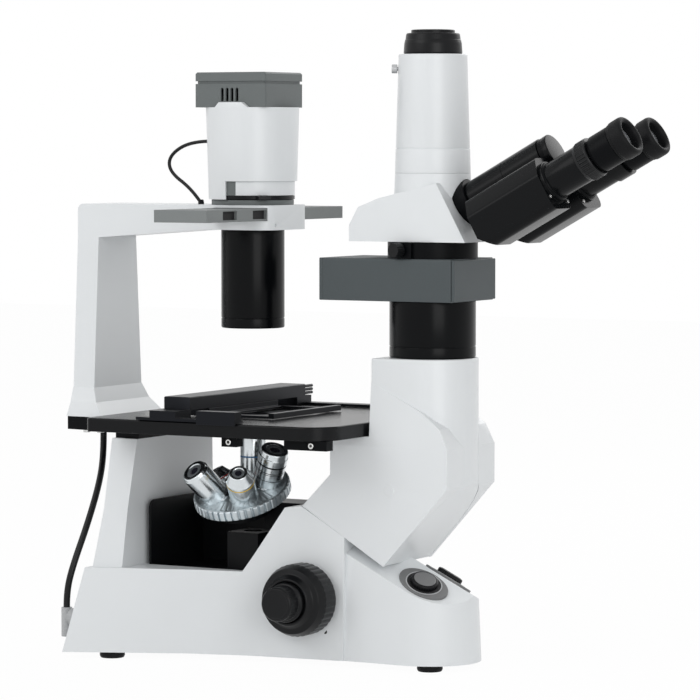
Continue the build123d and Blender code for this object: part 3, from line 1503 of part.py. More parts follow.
for coarse_name, fine_name, side in (
    ("left_coarse_knob", "left_fine_knob", -1),
    ("right_coarse_knob", "right_fine_knob", 1),
):
    axis = Plane(origin=(light_x + focus_x, 0, focus_z), x_dir=(1, 0, 0), z_dir=(0, side, 0))
    with BuildPart() as coarse:
        drum_end = coarse_start + coarse_drum
        profile = [(0, coarse_start), (coarse_radius, coarse_start), (coarse_radius, drum_end)]
        cone_end = drum_end + coarse_cone
        dish_floor = cone_end - coarse_dish
        profile += [(coarse_front_radius, cone_end), (coarse_dish_radius, cone_end)]
        profile += [(coarse_dish_radius, dish_floor), (0, dish_floor)]
        turned(axis, profile)
        scallops(
            axis.offset(coarse_start), coarse_radius, coarse_grip_radius, coarse_grip_bite,
            coarse_grip_count, coarse_drum,
        )
        shaft_hole = axis.offset(coarse_start - cut_overrun)
        disc(shaft_hole, fine_shaft_radius + running_gap, 2 * coarse_drum, Mode.SUBTRACT)
    finish(coarse_name, coarse)
    with BuildPart() as fine:
        profile = [(fine_shaft_radius, coarse_start), (fine_shaft_radius, fine_start)]
        profile += [(fine_root_radius, fine_start)]
        profile += [(fine_root_radius, fine_start + fine_step), (fine_radius, fine_start + fine_step)]
        profile += [(fine_radius, fine_end - fine_edge), (fine_radius - fine_edge, fine_end), (0, fine_end)]
        turned(axis, [(0, coarse_start)] + profile)
        if side < 0:
            disc(drive_axis(-coarse_start), fine_shaft_radius, 2 * coarse_start)
    finish(fine_name, fine)

# Mechanical stage
shoe_low = stage_top + shoe_gap
shoe_top = shoe_low + shoe_thickness
with BuildPart() as cross_bar:
    block(bar_rear_x, bar_front_x, -bar_near_y, bar_far_y, bar_bottom, bar_top)
    chamfer(cross_bar.faces().sort_by(Axis.Z)[-1].edges(), length=bar_edge)
    for side, x in ((-1, grip_front_x), (1, drive_x + drive_arm)):
        block(shoe_rear_x, x, *sorted((side * shoe_inner_y, side * shoe_outer_y)), shoe_low, shoe_top)
        riser = sorted((side * riser_y, side * shoe_outer_y))
        block(bar_rear_x, bar_front_x, *riser, shoe_low, bar_bottom + bar_edge)
    block(grip_rear_x, grip_front_x, -shoe_outer_y, -grip_inner_y, shoe_low, grip_top)
    lip_y = stage_half + seat_gap
    block(grip_rear_x, grip_front_x, -shoe_outer_y, -lip_y, grip_bottom, shoe_top)
    block(
        drive_x - drive_arm, drive_x + drive_arm, lip_y, drive_y + drive_arm / 2,
        shoe_low - drive_bracket_drop, shoe_top,
    )
    for row in (-1, 0, 1):
        rod_height = (bar_bottom + bar_top) / 2 + row * rod_pitch * rod_share
        rod = Plane(
            origin=(light_x + bar_front_x - rod_pitch, bar_far_y, rod_height),
            x_dir=(1, 0, 0),
            z_dir=(0, 1, 0),
        )
        disc(rod, rod_radius, rod_reach)
    drive_bore = drive_plane(shoe_low - drive_bracket_drop - cut_overrun)
    disc(drive_bore, drive_shaft_radius + running_gap, 2 * drive_bracket_drop, Mode.SUBTRACT)
finish("cross_bar", cross_bar)

with BuildPart() as specimen_holder:
    plate_top = holder_bottom + holder_thickness
    block(bar_rear_x + seat_gap, holder_front_x, -holder_near_y, holder_far_y, holder_bottom, plate_top)
    block(
        bar_front_x + holder_rail, holder_front_x - holder_bar, holder_rail - holder_near_y,
        holder_far_y - holder_rail, stage_top, bar_top, Mode.SUBTRACT,
    )
    block(
        holder_front_x - holder_bar, holder_front_x, -holder_near_y, holder_far_y,
        holder_bottom, holder_bottom + holder_bar_height,
    )
    rail_rear_x = bar_rear_x + seat_gap
    block(rail_rear_x, bar_front_x, -holder_near_y, holder_far_y, holder_bottom, bar_bottom - seat_gap)
finish("specimen_holder", specimen_holder)

bracket_low = shoe_low - drive_bracket_drop
with BuildPart() as cross_drive_knob:
    disc(drive_plane(lower_knob_top - lower_knob_height), lower_knob_radius, lower_knob_height)
    disc(drive_plane(lower_knob_top), drive_shaft_radius / 2, bracket_low - lower_knob_top)
    scallops(
        drive_plane(lower_knob_top - lower_knob_height - cut_overrun), lower_knob_radius,
        drive_grip, drive_grip_bite, drive_grip_count, 2 * lower_knob_height,
    )
finish("cross_drive_knob", cross_drive_knob)

with BuildPart() as holder_drive_knob:
    disc(drive_plane(upper_knob_top - upper_knob_height), upper_knob_radius, upper_knob_height)
    scallops(
        drive_plane(upper_knob_top - upper_knob_height - cut_overrun), upper_knob_radius,
        drive_grip, drive_grip_bite, drive_grip_count, 2 * upper_knob_height,
    )
    disc(drive_plane(upper_knob_top), drive_shaft_radius, bracket_low + drive_bracket_drop - upper_knob_top)
    disc(drive_plane(lower_knob_top), drive_shaft_radius / 2 + running_gap, stage_top, Mode.SUBTRACT)
finish("holder_drive_knob", holder_drive_knob)
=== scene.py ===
# %% [markdown]
# # An inverted microscope, dressed for a picture
# A laboratory microscope that looks up at its specimen from below. The CAD model gives the true solids, the
# joints and the overall size. This lesson puts finished surfaces over it, piece by piece, in the same frame:
# metres, +Z up, +X toward the person at the eyepieces, the bench at Z = 0.

import json
from math import cos, pi, radians, sin

import bmesh
import bpy
import numpy as np
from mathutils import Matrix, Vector

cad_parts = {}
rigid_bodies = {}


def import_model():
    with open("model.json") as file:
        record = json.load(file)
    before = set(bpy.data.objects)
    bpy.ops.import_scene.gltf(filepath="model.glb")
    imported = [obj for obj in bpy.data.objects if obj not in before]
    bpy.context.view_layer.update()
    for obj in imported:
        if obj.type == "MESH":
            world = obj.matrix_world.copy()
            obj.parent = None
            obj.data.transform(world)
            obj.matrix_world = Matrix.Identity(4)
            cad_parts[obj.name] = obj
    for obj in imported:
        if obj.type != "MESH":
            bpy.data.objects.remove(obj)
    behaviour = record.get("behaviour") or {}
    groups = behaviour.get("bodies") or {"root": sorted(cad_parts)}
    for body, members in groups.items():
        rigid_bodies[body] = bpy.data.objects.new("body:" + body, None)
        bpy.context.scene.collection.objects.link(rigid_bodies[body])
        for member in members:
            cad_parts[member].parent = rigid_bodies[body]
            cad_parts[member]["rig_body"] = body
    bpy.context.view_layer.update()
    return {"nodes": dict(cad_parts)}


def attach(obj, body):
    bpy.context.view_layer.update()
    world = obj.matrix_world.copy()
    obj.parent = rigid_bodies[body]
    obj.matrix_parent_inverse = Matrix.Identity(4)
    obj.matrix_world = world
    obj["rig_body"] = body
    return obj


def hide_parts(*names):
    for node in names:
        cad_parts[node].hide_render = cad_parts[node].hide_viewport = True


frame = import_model()

# %% [markdown]
# Most pieces are round and share a few axes. An axis is a point and three directions square to each other, so
# that every later profile stays short: it only says how far out and how far along. The light axis runs up
# through the lamp and the condenser, and the column axis up through the camera tube.

# %% Axes of the real object
light_x = -0.12127272
column_x = light_x + 0.1948
X, Y, Z = np.eye(3)


def axis_frame(origin, along, across=X):
    """A lathe axis: its origin, two directions square to it, and the direction it runs in."""
    along = np.asarray(along, float) / np.linalg.norm(along)
    side = np.asarray(across, float) - along * np.dot(across, along)
    side /= np.linalg.norm(side)
    return np.asarray(origin, float), side, np.cross(along, side), along


light_axis = axis_frame((light_x, 0, 0), Z)
column_axis = axis_frame((column_x, 0, 0), Z)
print("light axis at x = %.4f, column axis at x = %.4f" % (light_x, column_x))

# %% [markdown]
# ## Surfaces
# Every new piece is a grid of points worked out as whole arrays and handed to Blender in one go. Points could
# be added one by one in edit mode instead, but arrays are quicker and a formula states the form exactly. Each
# piece also says which body it rides, which CAD nodes it stands in for and which slot its finish fills.

# %% Points and faces into one object
def add_mesh(name, points, faces, body, finish, replaces=(), smooth_angle=35):
    """Puts arrays of points and faces into one object that rides a body of the frame."""
    mesh = bpy.data.meshes.new(name)
    mesh.from_pydata(np.asarray(points).tolist(), [], [tuple(face) for face in faces])
    mesh.validate()
    mesh.polygons.foreach_set("use_smooth", np.ones(len(mesh.polygons), bool))
    mesh.set_sharp_from_angle(angle=radians(smooth_angle))
    piece = bpy.data.objects.new(name, mesh)
    bpy.context.scene.collection.objects.link(piece)
    mesh.materials.append(finishes[finish])
    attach(piece, body)
    for node in replaces:
        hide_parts(node)
    return piece


# %% [markdown]
# No turned or moulded part has knife edges: a small rounding catches a line of light. A Bevel modifier could
# do it on the mesh, but rounding the profile before it is turned takes fewer faces and can't fail.

# %% Round a profile's corners
def rounded(profile, radius=0.0005, steps=3):
    """Rounds a profile's corners: near each corner the line follows a quadratic curve between the two
    points that lie the radius, or 0.4 of the shorter side, before and after it."""
    profile = np.asarray(profile, float)
    result = [profile[0]]
    for before, here, after in zip(profile, profile[1:], profile[2:]):
        inward, outward = before - here, after - here
        reach = min(radius, 0.4 * np.linalg.norm(inward), 0.4 * np.linalg.norm(outward))
        start = here + inward / max(np.linalg.norm(inward), 1e-9) * reach
        end = here + outward / max(np.linalg.norm(outward), 1e-9) * reach
        share = np.linspace(0, 1, steps + 1)[:, None]
        result.extend((1 - share) ** 2 * start + 2 * share * (1 - share) * here + share**2 * end)
    result.append(profile[-1])
    return np.array(result)


# %% [markdown]
# A lathe carries a profile of (radius, height) pairs round an axis, as the Screw modifier would. Worked out
# as arrays it also takes a ripple, which is added to the radius, so that a knurled grip stays one skin.

# %% Turn a profile round an axis
def lathe_grid(axis, profile, segments, ripple=None):
    """Points at origin + r (cos t side + sin t other) + h along, for each profile pair (r, h) and each of
    the equal turns t. The ripple gives an addition to r from t and the profile."""
    origin, side, other, along = axis
    turn = np.linspace(0, 2 * pi, segments, endpoint=False)
    radius = np.repeat(profile[:, :1], segments, axis=1)
    if ripple is not None:
        radius = radius + ripple(turn, profile)
    height = profile[:, 1][:, None, None]
    ring = np.cos(turn)[None, :, None] * side + np.sin(turn)[None, :, None] * other
    return origin + radius[:, :, None] * ring + height * along


def lathe(
    name, axis, profile, body, finish, replaces=(), segments=96, ripple=None, soften=0.0005, smooth_angle=35
):
    """A closed lathe piece. Profiles run counter-clockwise in (radius, height); a profile that starts and
    ends on the axis closes with poles, and any other one closes on itself as a ring."""
    profile = np.asarray(profile, float)
    solid = profile[0][0] == 0 and profile[-1][0] == 0
    line = rounded(profile, soften) if solid else rounded(np.vstack([profile, profile[:1]]), soften)
    rows = line[1:-1] if solid else line[:-1]
    points = lathe_grid(axis, rows, segments, ripple).reshape(-1, 3)
    count = len(rows)
    column = np.arange(segments)
    following = (column + 1) % segments
    spans = count - 1 if solid else count
    faces = []
    for row in range(spans):
        low, high = row * segments, (row + 1) % count * segments
        faces.append(np.stack([low + column, low + following, high + following, high + column], 1))
    faces = np.concatenate(faces).tolist()
    if solid:
        origin, along = axis[0], axis[3]
        points = np.vstack([points, origin + line[0][1] * along, origin + line[-1][1] * along])
        bottom, top = len(points) - 2, len(points) - 1
        faces += np.stack([np.full(segments, bottom), following, column], 1).tolist()
        last = (count - 1) * segments
        faces += np.stack([np.full(segments, top), last + column, last + following], 1).tolist()
    return add_mesh(name, points, faces, body, finish, replaces, smooth_angle)


# %% [markdown]
# Grips have rows of shallow grooves. Cutting them with booleans would be slow and fragile, so they are a
# ripple for the lathe. A grip is shaded smooth up to 50 degrees, so that the grooves look moulded.

# %% Grooves of a grip
grip_angle = 50


def flutes(count, depth, low, high, sharp=1.0):
    """A ripple of round grooves between two heights, -depth (1 - |sin(count t / 2)| ^ sharp). The power sets
    how narrow the grooves are."""

    def ripple(turn, profile):
        inside = ((profile[:, 1] > low) & (profile[:, 1] < high)).astype(float)[:, None]
        wave = 1 - np.abs(np.sin(turn * count / 2)) ** sharp
        return -depth * inside * wave[None, :]

    return ripple


# %% [markdown]
# ## Dressed castings
# The base, column, pillar and prism housings have freeform outlines that the CAD already gives exactly. Their
# triangles are loose, so each gets a copy whose doubles are merged. Real castings have no knife edges, and a
# Bevel modifier on that copy catches the light along every edge the way rounded paint does.

# %% A bevelled copy of a CAD node
merge_distance = 1e-6
flat_angle = radians(0.5)


def dress(node, finish, width=0.0008, angle=28, segments=3, cuts=()):
    """A merged copy of a CAD node with rounded edges, which replaces the node. Each cut is a point and a
    direction, and takes off what lies beyond the plane through the point, square to the direction."""
    source = frame["nodes"][node]
    mesh = source.data.copy()
    mesh.name = node + "_skin"
    work = bmesh.new()
    work.from_mesh(mesh)
    bmesh.ops.remove_doubles(work, verts=work.verts, dist=merge_distance)
    bmesh.ops.dissolve_limit(work, angle_limit=flat_angle, verts=work.verts, edges=work.edges)
    for point, outward in cuts:
        everything = work.verts[:] + work.edges[:] + work.faces[:]
        bmesh.ops.bisect_plane(work, geom=everything, plane_co=point, plane_no=outward, clear_outer=True)
        bmesh.ops.holes_fill(work, edges=[edge for edge in work.edges if edge.is_boundary], sides=0)
    work.to_mesh(mesh)
    work.free()
    mesh.polygons.foreach_set("use_smooth", np.ones(len(mesh.polygons), bool))
    mesh.set_sharp_from_angle(angle=radians(angle))
    mesh.materials.clear()
    mesh.materials.append(finishes[finish])
    piece = bpy.data.objects.new(node + "_skin", mesh)
    bpy.context.scene.collection.objects.link(piece)
    if width:
        bevel = piece.modifiers.new("rounded edges", "BEVEL")
        bevel.width = width
        bevel.segments = segments
        bevel.limit_method = "ANGLE"
        bevel.angle_limit = radians(angle)
        bevel.harden_normals = True
    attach(piece, source["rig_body"])
    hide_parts(node)


# %% [markdown]
# ## Finishes
# A finish is arithmetic on noise. The small class below wraps one output of a node, so that an expression
# such as 0.3 + grain * 0.2 adds the Math nodes it needs.

# %% A socket that does arithmetic
class Value:
    """One output socket in a finish; + and * add Math nodes."""

    def __init__(self, finish, socket):
        self.finish, self.socket = finish, socket

    def join(self, operation, first, second):
        return self.finish.node("Math", {"operation": operation}, {0: first, 1: second})

    def __add__(self, other):
        return self.join("ADD", self, other)

    def __radd__(self, other):
        return self.join("ADD", other, self)

    def __mul__(self, other):
        return self.join("MULTIPLY", self, other)


# %% [markdown]
# Every material starts from the Principled shader, which covers paint, plastic, metal and glass. Noise on
# the piece's own coordinates needs no unwrapping and no image, and a class keeps each finish to a few lines.

# %% One finish around a Principled shader
class Finish:
    """A material under construction around one Principled shader."""

    def __init__(self, name, colour, roughness, metallic=0.0, **sockets):
        self.material = bpy.data.materials.new(name)
        self.material.use_nodes = True
        self.tree = self.material.node_tree
        self.shader = self.tree.nodes["Principled BSDF"]
        self.material.diffuse_color = (*colour, 1)
        self.set("Base Color", (*colour, 1))
        self.set("Roughness", roughness)
        self.set("Metallic", metallic)
        for key, value in sockets.items():
            self.set(key.replace("_", " ").title().replace("Ior", "IOR"), value)
        self.place = self.node("TexCoord", output="Object")

    def set(self, socket, value):
        target = self.shader.inputs[socket]
        if isinstance(value, Value):
            self.tree.links.new(value.socket, target)
        else:
            target.default_value = value

    def node(self, kind, settings={}, inputs={}, output=0):
        """Adds one node: its settings first, then the values or links of its sockets."""
        made = self.tree.nodes.new("ShaderNode" + kind)
        for key, value in settings.items():
            setattr(made, key, value)
        for key, value in inputs.items():
            if isinstance(value, Value):
                self.tree.links.new(value.socket, made.inputs[key])
            else:
                made.inputs[key].default_value = value
        return Value(self, made.outputs[output])

    def noise(self, scale, detail=2.0, stretch=(1, 1, 1)):
        """Noise in the range 0 to 1 on the piece's own coordinates, stretched along an axis if asked."""
        place = self.node("Mapping", {}, {"Vector": self.place, "Scale": stretch})
        return self.node("TexNoise", {}, {"Vector": place, "Scale": scale, "Detail": detail})

    def blend(self, factor, first, second):
        """One colour turning into another as the factor goes from 0 to 1."""
        colours = {"Factor": factor, 6: (*first, 1), 7: (*second, 1)}
        return self.node("Mix", {"data_type": "RGBA"}, colours, output=2)

    def bump(self, height, distance):
        """Small relief, as high as the distance where the height is 1."""
        relief = {"Height": height, "Distance": distance, "Strength": 1.0}
        self.set("Normal", self.node("Bump", {}, relief))


# %% [markdown]
# The white parts are powder coated: a satin film with a fine orange peel. Colour drifts by a percent or two
# and roughness by a little more, which keeps a broad white panel from looking like a flat cut-out. Plastic
# has its grain in the colour too, and bare metal has fine lines from the tool.

# %% Painted, moulded and metal finishes
def shade_of(colour, share):
    """A colour times a share."""
    return tuple(channel * share for channel in colour)


def painted(name, colour, roughness, grain=1400, depth=0.00003, drift=0.03, coat=0.0, gloss=0.5):
    """A satin film whose colour drifts broadly, with fine noise as its orange peel."""
    finish = Finish(name, colour, roughness, coat_weight=coat, specular_ior_level=gloss)
    broad = finish.noise(14, 3)
    fine = finish.noise(grain, 2)
    darker, paler = shade_of(colour, 1 - drift), shade_of(colour, 1 + drift / 2)
    finish.set("Base Color", finish.blend(broad, darker, paler))
    finish.set("Roughness", roughness - 0.05 + broad * 0.06 + fine * 0.04)
    finish.bump(fine, depth)
    return finish.material


def moulded(name, colour, roughness, grain=2600, depth=0.00006, gloss=0.4):
    """Plastic or rubber with a fine grain in both its colour and its relief."""
    finish = Finish(name, colour, roughness, specular_ior_level=gloss)
    broad = finish.noise(30, 3)
    fine = finish.noise(grain, 3)
    finish.set("Base Color", finish.blend(fine, shade_of(colour, 0.86), shade_of(colour, 1.12)))
    finish.set("Roughness", roughness - 0.06 + broad * 0.12)
    finish.bump(fine, depth)
    return finish.material


def machined(name, colour, roughness, stretch=(1, 1, 1), grain=900, depth=0.00001):
    """Bare metal with fine lines, which run along one axis if the noise is stretched."""
    finish = Finish(name, colour, roughness, metallic=1.0)
    lines = finish.noise(grain, 3, stretch)
    broad = finish.noise(20, 3)
    finish.set("Base Color", finish.blend(lines, shade_of(colour, 0.9), colour))
    finish.set("Roughness", roughness - 0.04 + lines * 0.08 + broad * 0.05)
    finish.bump(lines, depth)
    return finish.material


def lens_with_rim_reflection(name, colour, rim_reflection_colour):
    """Coated glass: one colour seen straight on, which turns into another toward the rim, a painted
    reflection.
    """
    finish = Finish(name, colour, 0.04, coat_weight=1.0, coat_roughness=0.02)
    rim = finish.node("LayerWeight", {}, {"Blend": 0.35}, output="Facing")
    finish.set("Base Color", finish.blend(rim, colour, rim_reflection_colour))
    return finish.material


# %% [markdown]
# The table names each finish after its place on the microscope. Colours are linear, and the blacks lie far
# below what one would guess, because the white surroundings lift every surface by its gloss.

# %% The table of finishes
finishes = {
    "white": painted("white powder coat", (0.79, 0.815, 0.83), 0.36, coat=0.15),
    "white_inside": painted("white plain coat", (0.74, 0.75, 0.76), 0.5),
    "black": painted("black satin paint", (0.0028, 0.0032, 0.004), 0.36, gloss=0.07),
    "gloss_black": painted(
        "black semi-gloss paint", (0.0028, 0.0033, 0.004), 0.22, depth=0.00001, gloss=0.13
    ),
    "tube": painted("black tube lacquer", (0.002, 0.0024, 0.003), 0.24, depth=0.00001, gloss=0.11),
    "silver": painted("silver paint", (0.45, 0.46, 0.47), 0.35),
    "bezel": painted("grey bezel", (0.17, 0.172, 0.174), 0.38),
    "liner": painted("black matte liner", (0.005, 0.0055, 0.0065), 0.4, gloss=0.15),
    "box": moulded("dark grey wrinkle paint", (0.062, 0.075, 0.08), 0.5, grain=1700, depth=0.00012),
    "grey": moulded("grey moulded plastic", (0.135, 0.15, 0.15), 0.48),
    "slider": moulded("grey slider plastic", (0.2, 0.215, 0.215), 0.46),
    "knob": moulded("black knob plastic", (0.0062, 0.0066, 0.0075), 0.3, gloss=0.18),
    "rubber": moulded("soft black rubber", (0.0045, 0.0048, 0.0055), 0.5, grain=3200, gloss=0.14),
    "stage": painted(
        "black anodised stage", (0.0038, 0.0042, 0.005), 0.24, grain=2400, depth=0.00002, gloss=0.16
    ),
    "steel": machined("ground steel", (0.5, 0.51, 0.52), 0.3, (1, 20, 1)),
    "screw": machined("bright screw", (0.7, 0.7, 0.69), 0.22),
    "aluminium": machined("satin aluminium", (0.63, 0.69, 0.72), 0.42, (1, 1, 1), 1500),
    "dark_metal": machined("dark anodised metal", (0.018, 0.019, 0.022), 0.34, (1, 12, 1)),
    "cell": painted("grey lens cell", (0.15, 0.165, 0.175), 0.35),
    "ribbed": moulded("ribbed black plastic", (0.006, 0.0065, 0.0075), 0.28, gloss=0.26),
    "chrome": machined("polished chrome", (0.72, 0.76, 0.78), 0.2, grain=300, depth=0.000003),
    "cord": moulded("black cord sheath", (0.006, 0.0063, 0.007), 0.36, gloss=0.25),
    # Both lenses carry a painted reflection: their colour turns paler toward the rim as the view grazes them.
    "lens": lens_with_rim_reflection("coated lens with painted rim reflection", (0.012, 0.014, 0.02), (0.05, 0.045, 0.07)),
    "eye_glass": lens_with_rim_reflection("eyepiece lens with painted rim reflection", (0.2, 0.21, 0.22), (0.32, 0.33, 0.35)),
    # Painted shade: a near-black laid in holes, sockets, vents and gaps where they look dark.
    "hole_shade": painted("painted shade inside a hole", (0.006, 0.006, 0.007), 0.7),
    "ring_yellow": painted("yellow ring", (0.75, 0.5, 0.06), 0.4),
    "ring_blue": painted("blue ring", (0.06, 0.22, 0.5), 0.4),
    "ring_red": painted("red ring", (0.5, 0.04, 0.03), 0.4),
}
print("finishes:", len(finishes))

# %% [markdown]

# %% [markdown]
# ## Camera
# The photograph looks from the user's left, about 29 degrees round from the side and a little above level,
# with a long lens. The same view is set up first, because everything else is judged through it.

# %% The photograph's view
camera_data = bpy.data.cameras.new("photo view")
camera_data.sensor_width = 36
camera_data.lens = 185.1
camera_data.clip_end = 20
camera = bpy.data.objects.new("photo view", camera_data)
bpy.context.scene.collection.objects.link(camera)
camera.location = (1.76577 + light_x, -2.95672, 0.49158)
aim = Vector((0.10653 + light_x, 0, 0.29381))
camera.rotation_mode = "QUATERNION"
camera.rotation_quaternion = (aim - camera.location).to_track_quat("-Z", "Y")
bpy.context.scene.camera = camera
bpy.context.scene.view_settings.view_transform = "Standard"
print("camera lens:", round(camera_data.lens, 1), "mm")

# %% [markdown]
# ## Leads
# Two cords belong to the stand: the lamp's thin lead, which loops from the lamp house into the arm, and the
# cable from the shelf down to its plug. A lead could be a swept mesh, but a curve with a round bevel bends
# smoothly through a handful of corners.

# %% Cords along their routes
def lead(name, route, radius):
    """A NURBS curve with a round bevel, in place of the CAD cord. Its corners are in millimetres from the
    light axis."""
    curve = bpy.data.curves.new(name + " line", "CURVE")
    curve.dimensions = "3D"
    curve.bevel_depth = radius
    curve.bevel_resolution = 5
    curve.use_fill_caps = True
    curve.resolution_u = 24
    spline = curve.splines.new("NURBS")
    spline.points.add(len(route) - 1)
    for point, (x, y, z) in zip(spline.points, route):
        point.co = (light_x + x / 1000, y / 1000, z / 1000, 1)
    spline.order_u = 3
    spline.use_endpoint_u = True
    cord = bpy.data.objects.new(name + "_cord", curve)
    bpy.context.scene.collection.objects.link(cord)
    curve.materials.append(finishes["cord"])
    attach(cord, "stand")
    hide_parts(name)
    bpy.context.view_layer.update()


lamp_route = [(-45.6, 0, 490.5), (-69.6, 0, 490.5), (-94, 0, 477), (-94, 0, 461)]
lamp_route += [(-68, 0, 444), (-58, 0, 431)]
lead("lamp_lead", lamp_route, 0.0017)
rear_route = [(-158, -20, 207.7), (-158, -20, 187), (-146, -45, 162), (-140, -75, 125), (-143, -98, 84)]
rear_route += [(-148.5, -100, 60), (-148.5, -100, 45)]
lead("rear_cable", rear_route, 0.0032)

# %% [markdown]
# ## Tubes, caps and rings
# Everything round is a lathe profile. Heights are in millimetres along the piece's own axis, as on a drawing,
# and become metres in one place. A plain ring needs only its two radii and its two heights.

# %% Millimetres on a drawing
def mm(*pairs):
    """A profile given in millimetres, as metres."""
    return np.array(pairs, float) / 1000


def section(inner, outer, low, high):
    """The profile of a plain ring between two radii and two heights, given in millimetres."""
    return mm((inner, low), (outer, low), (outer, high), (inner, high))


# %% [markdown]
# The condenser tube hangs below the pillar's arm, and the field tube stands on the column. Both are black
# tubes with a fine groove near the lower end. A groove could be a boolean cut, but in a profile it is four
# more corners. A coated lens closes the condenser.

# %% Condenser and field tubes
condenser_profile = mm(
    (27.3, 312.6), (29.6, 312.6), (30.3, 313.6), (30.3, 321.6), (29.7, 321.6), (29.7, 322.5), (30.3, 322.5),
    (30.3, 406.5), (27.3, 406.5),
)
lathe("condenser_tube_skin", light_axis, condenser_profile, "stand", "tube", ["condenser_tube"])
front_lens_profile = mm((0, 316), (12, 316.6), (22, 318.2), (27.25, 320), (27.25, 322), (0, 322))
lathe("condenser_front_lens", light_axis, front_lens_profile, "stand", "lens")
field_profile = mm(
    (31.3, 289.65), (39.1, 289.65), (40.3, 290.8), (40.3, 299.8), (39.7, 299.8), (39.7, 300.8), (40.3, 300.8),
    (40.3, 342.6), (31.3, 342.6),
)
lathe("field_tube_skin", column_axis, field_profile, "stand", "tube", ["field_tube"], segments=128)
print("tubes: condenser and field")

# %% [markdown]
# The camera tube is white and tapers a little. A dark line marks the joint between its clamp and the head,
# and a black dust cap with a stepped lid closes it. The line is a turned groove, dark by its own shadow.

# %% Camera tube and its dust cap
camera_tube_profile = mm(
    (25.05, 461.1), (35.2, 461.1), (34.62, 483.4), (33.9, 483.4), (33.9, 484.3), (34.4, 484.3), (31.9, 570.2),
    (31.1, 571), (25.05, 571),
)
lathe("camera_tube_skin", column_axis, camera_tube_profile, "head", "white", ["phototube"], segments=128)
dust_cap_profile = mm(
    (0, 565), (25.0, 565), (25.0, 571.3), (26.8, 571.3), (27.3, 572.2), (26.7, 581.0), (26.0, 584.0),
    (25.6, 584.6), (25.0, 589.2), (24.2, 590.4), (21.4, 590.4), (20.9, 590.0), (20.3, 590.4), (20.3, 593.0),
    (19.6, 593.6), (0, 593.6),
)
lathe("dust_cap_skin", column_axis, dust_cap_profile, "head", "knob", ["phototube_cap"])
print("camera tube and dust cap")

# %% [markdown]
# ## Lamp
# The lamp stands on a grey disc. Above the disc a black lever ring turns the aperture, and above that the
# white inner drum shows through the open front of the lamp house. Disc and drum are plain rings on the light
# axis; the lever ring keeps its CAD outline and is dressed further down.

# %% Rings under the lamp house
lathe("lamp_disc_skin", light_axis, section(22, 39.3, 430.02, 434.9), "stand", "grey")
drum_profile = section(22, 40.3, 439.1, 452.6)
lathe("lamp_drum_skin", light_axis, drum_profile, "stand", "white", ["lamp_rings"], segments=128)
print("lamp rings: disc and drum")

# %% [markdown]
# Small dark things give scale: the post beside the drum, and the black floors of the vents and of the
# slider's pockets, which are painted shade. Each is a plain box or a part of a ring, sunk in its carrier so
# that only its face shows.

# %% Boxes and parts of rings
def box_mesh(name, low, high, body, finish):
    """A box between two corners, wound outwards."""
    (x0, y0, z0), (x1, y1, z1) = low, high
    points = [(x0, y0, z0), (x1, y0, z0), (x1, y1, z0), (x0, y1, z0)]
    points += [(x0, y0, z1), (x1, y0, z1), (x1, y1, z1), (x0, y1, z1)]
    faces = [(0, 3, 2, 1), (4, 5, 6, 7), (0, 1, 5, 4), (1, 2, 6, 5), (2, 3, 7, 6), (3, 0, 4, 7)]
    return add_mesh(name, points, faces, body, finish)


def ring_part(name, axis, profile, start, end, body, finish, segments=24):
    """A closed profile turned through part of a circle, origin + r (cos t side + sin t other) + h along for
    t from start to end, with the profile itself as both end caps."""
    origin, side, other, along = axis
    turn = np.linspace(start, end, segments + 1)
    ring = np.cos(turn)[:, None, None] * side + np.sin(turn)[:, None, None] * other
    points = origin + profile[None, :, :1] * ring + profile[None, :, 1:] * along
    count = len(profile)
    faces = [tuple(range(count - 1, -1, -1)), tuple(segments * count + np.arange(count))]
    for row in range(segments):
        for here in range(count):
            after = (here + 1) % count
            low, high = row * count, (row + 1) * count
            faces.append((low + here, low + after, high + after, high + here))
    return add_mesh(name, points.reshape(-1, 3), faces, body, finish)


# %% [markdown]
# The lead enters the lamp house and the arm through two rubber glands. Each is a short tapered lathe whose
# lower end lies in the wall, so it needs no hole there.

# %% Glands, post, vents and pockets
gland_profile = mm((0, -1.0), (2.9, -1.0), (2.9, 1.6), (2.3, 4.4), (0, 4.4))
for end, place, along in (("house", (-0.0456, 0, 0.4905), -X), ("arm", (-0.058, 0, 0.43), Z)):
    gland = axis_frame(np.array(place) + (light_x, 0, 0), along, Y)
    lathe("lead_gland_" + end, gland, gland_profile, "stand", "rubber", segments=40)
post_profile = section(39.5, 40.4, 439.2, 452.4)
ring_part("drum_post", light_axis, post_profile, radians(-97), radians(-83), "stand", "grey")
# The vent floors and the pocket floor below are painted shade: near-black boxes where the recesses look dark.
for side in (-1, 1):
    near, far = sorted((side * 0.0338, side * 0.033))
    vent_shade_low, vent_shade_high = (light_x - 0.016, near, 0.528), (light_x + 0.008, far, 0.541)
    box_mesh("vent_floor_%d" % side, vent_shade_low, vent_shade_high, "stand", "hole_shade")
pocket_shade_low, pocket_shade_high = (light_x + 0.0325, -0.1155, 0.4175), (light_x + 0.0336, -0.035, 0.4253)
box_mesh("pocket_shade", pocket_shade_low, pocket_shade_high, "phase_slide", "hole_shade")
print("lamp details: 2 glands, 1 post, 2 vents, 1 pocket floor")

# %% [markdown]
# ## Focus knobs
# Each side has a coarse knob with shallow finger flutes, a cone and a dish, and a smaller fine knob whose two
# steps come out of the dish. Both are plain black moulding. One profile serves both hands, because the axis
# alone is turned to the other side.

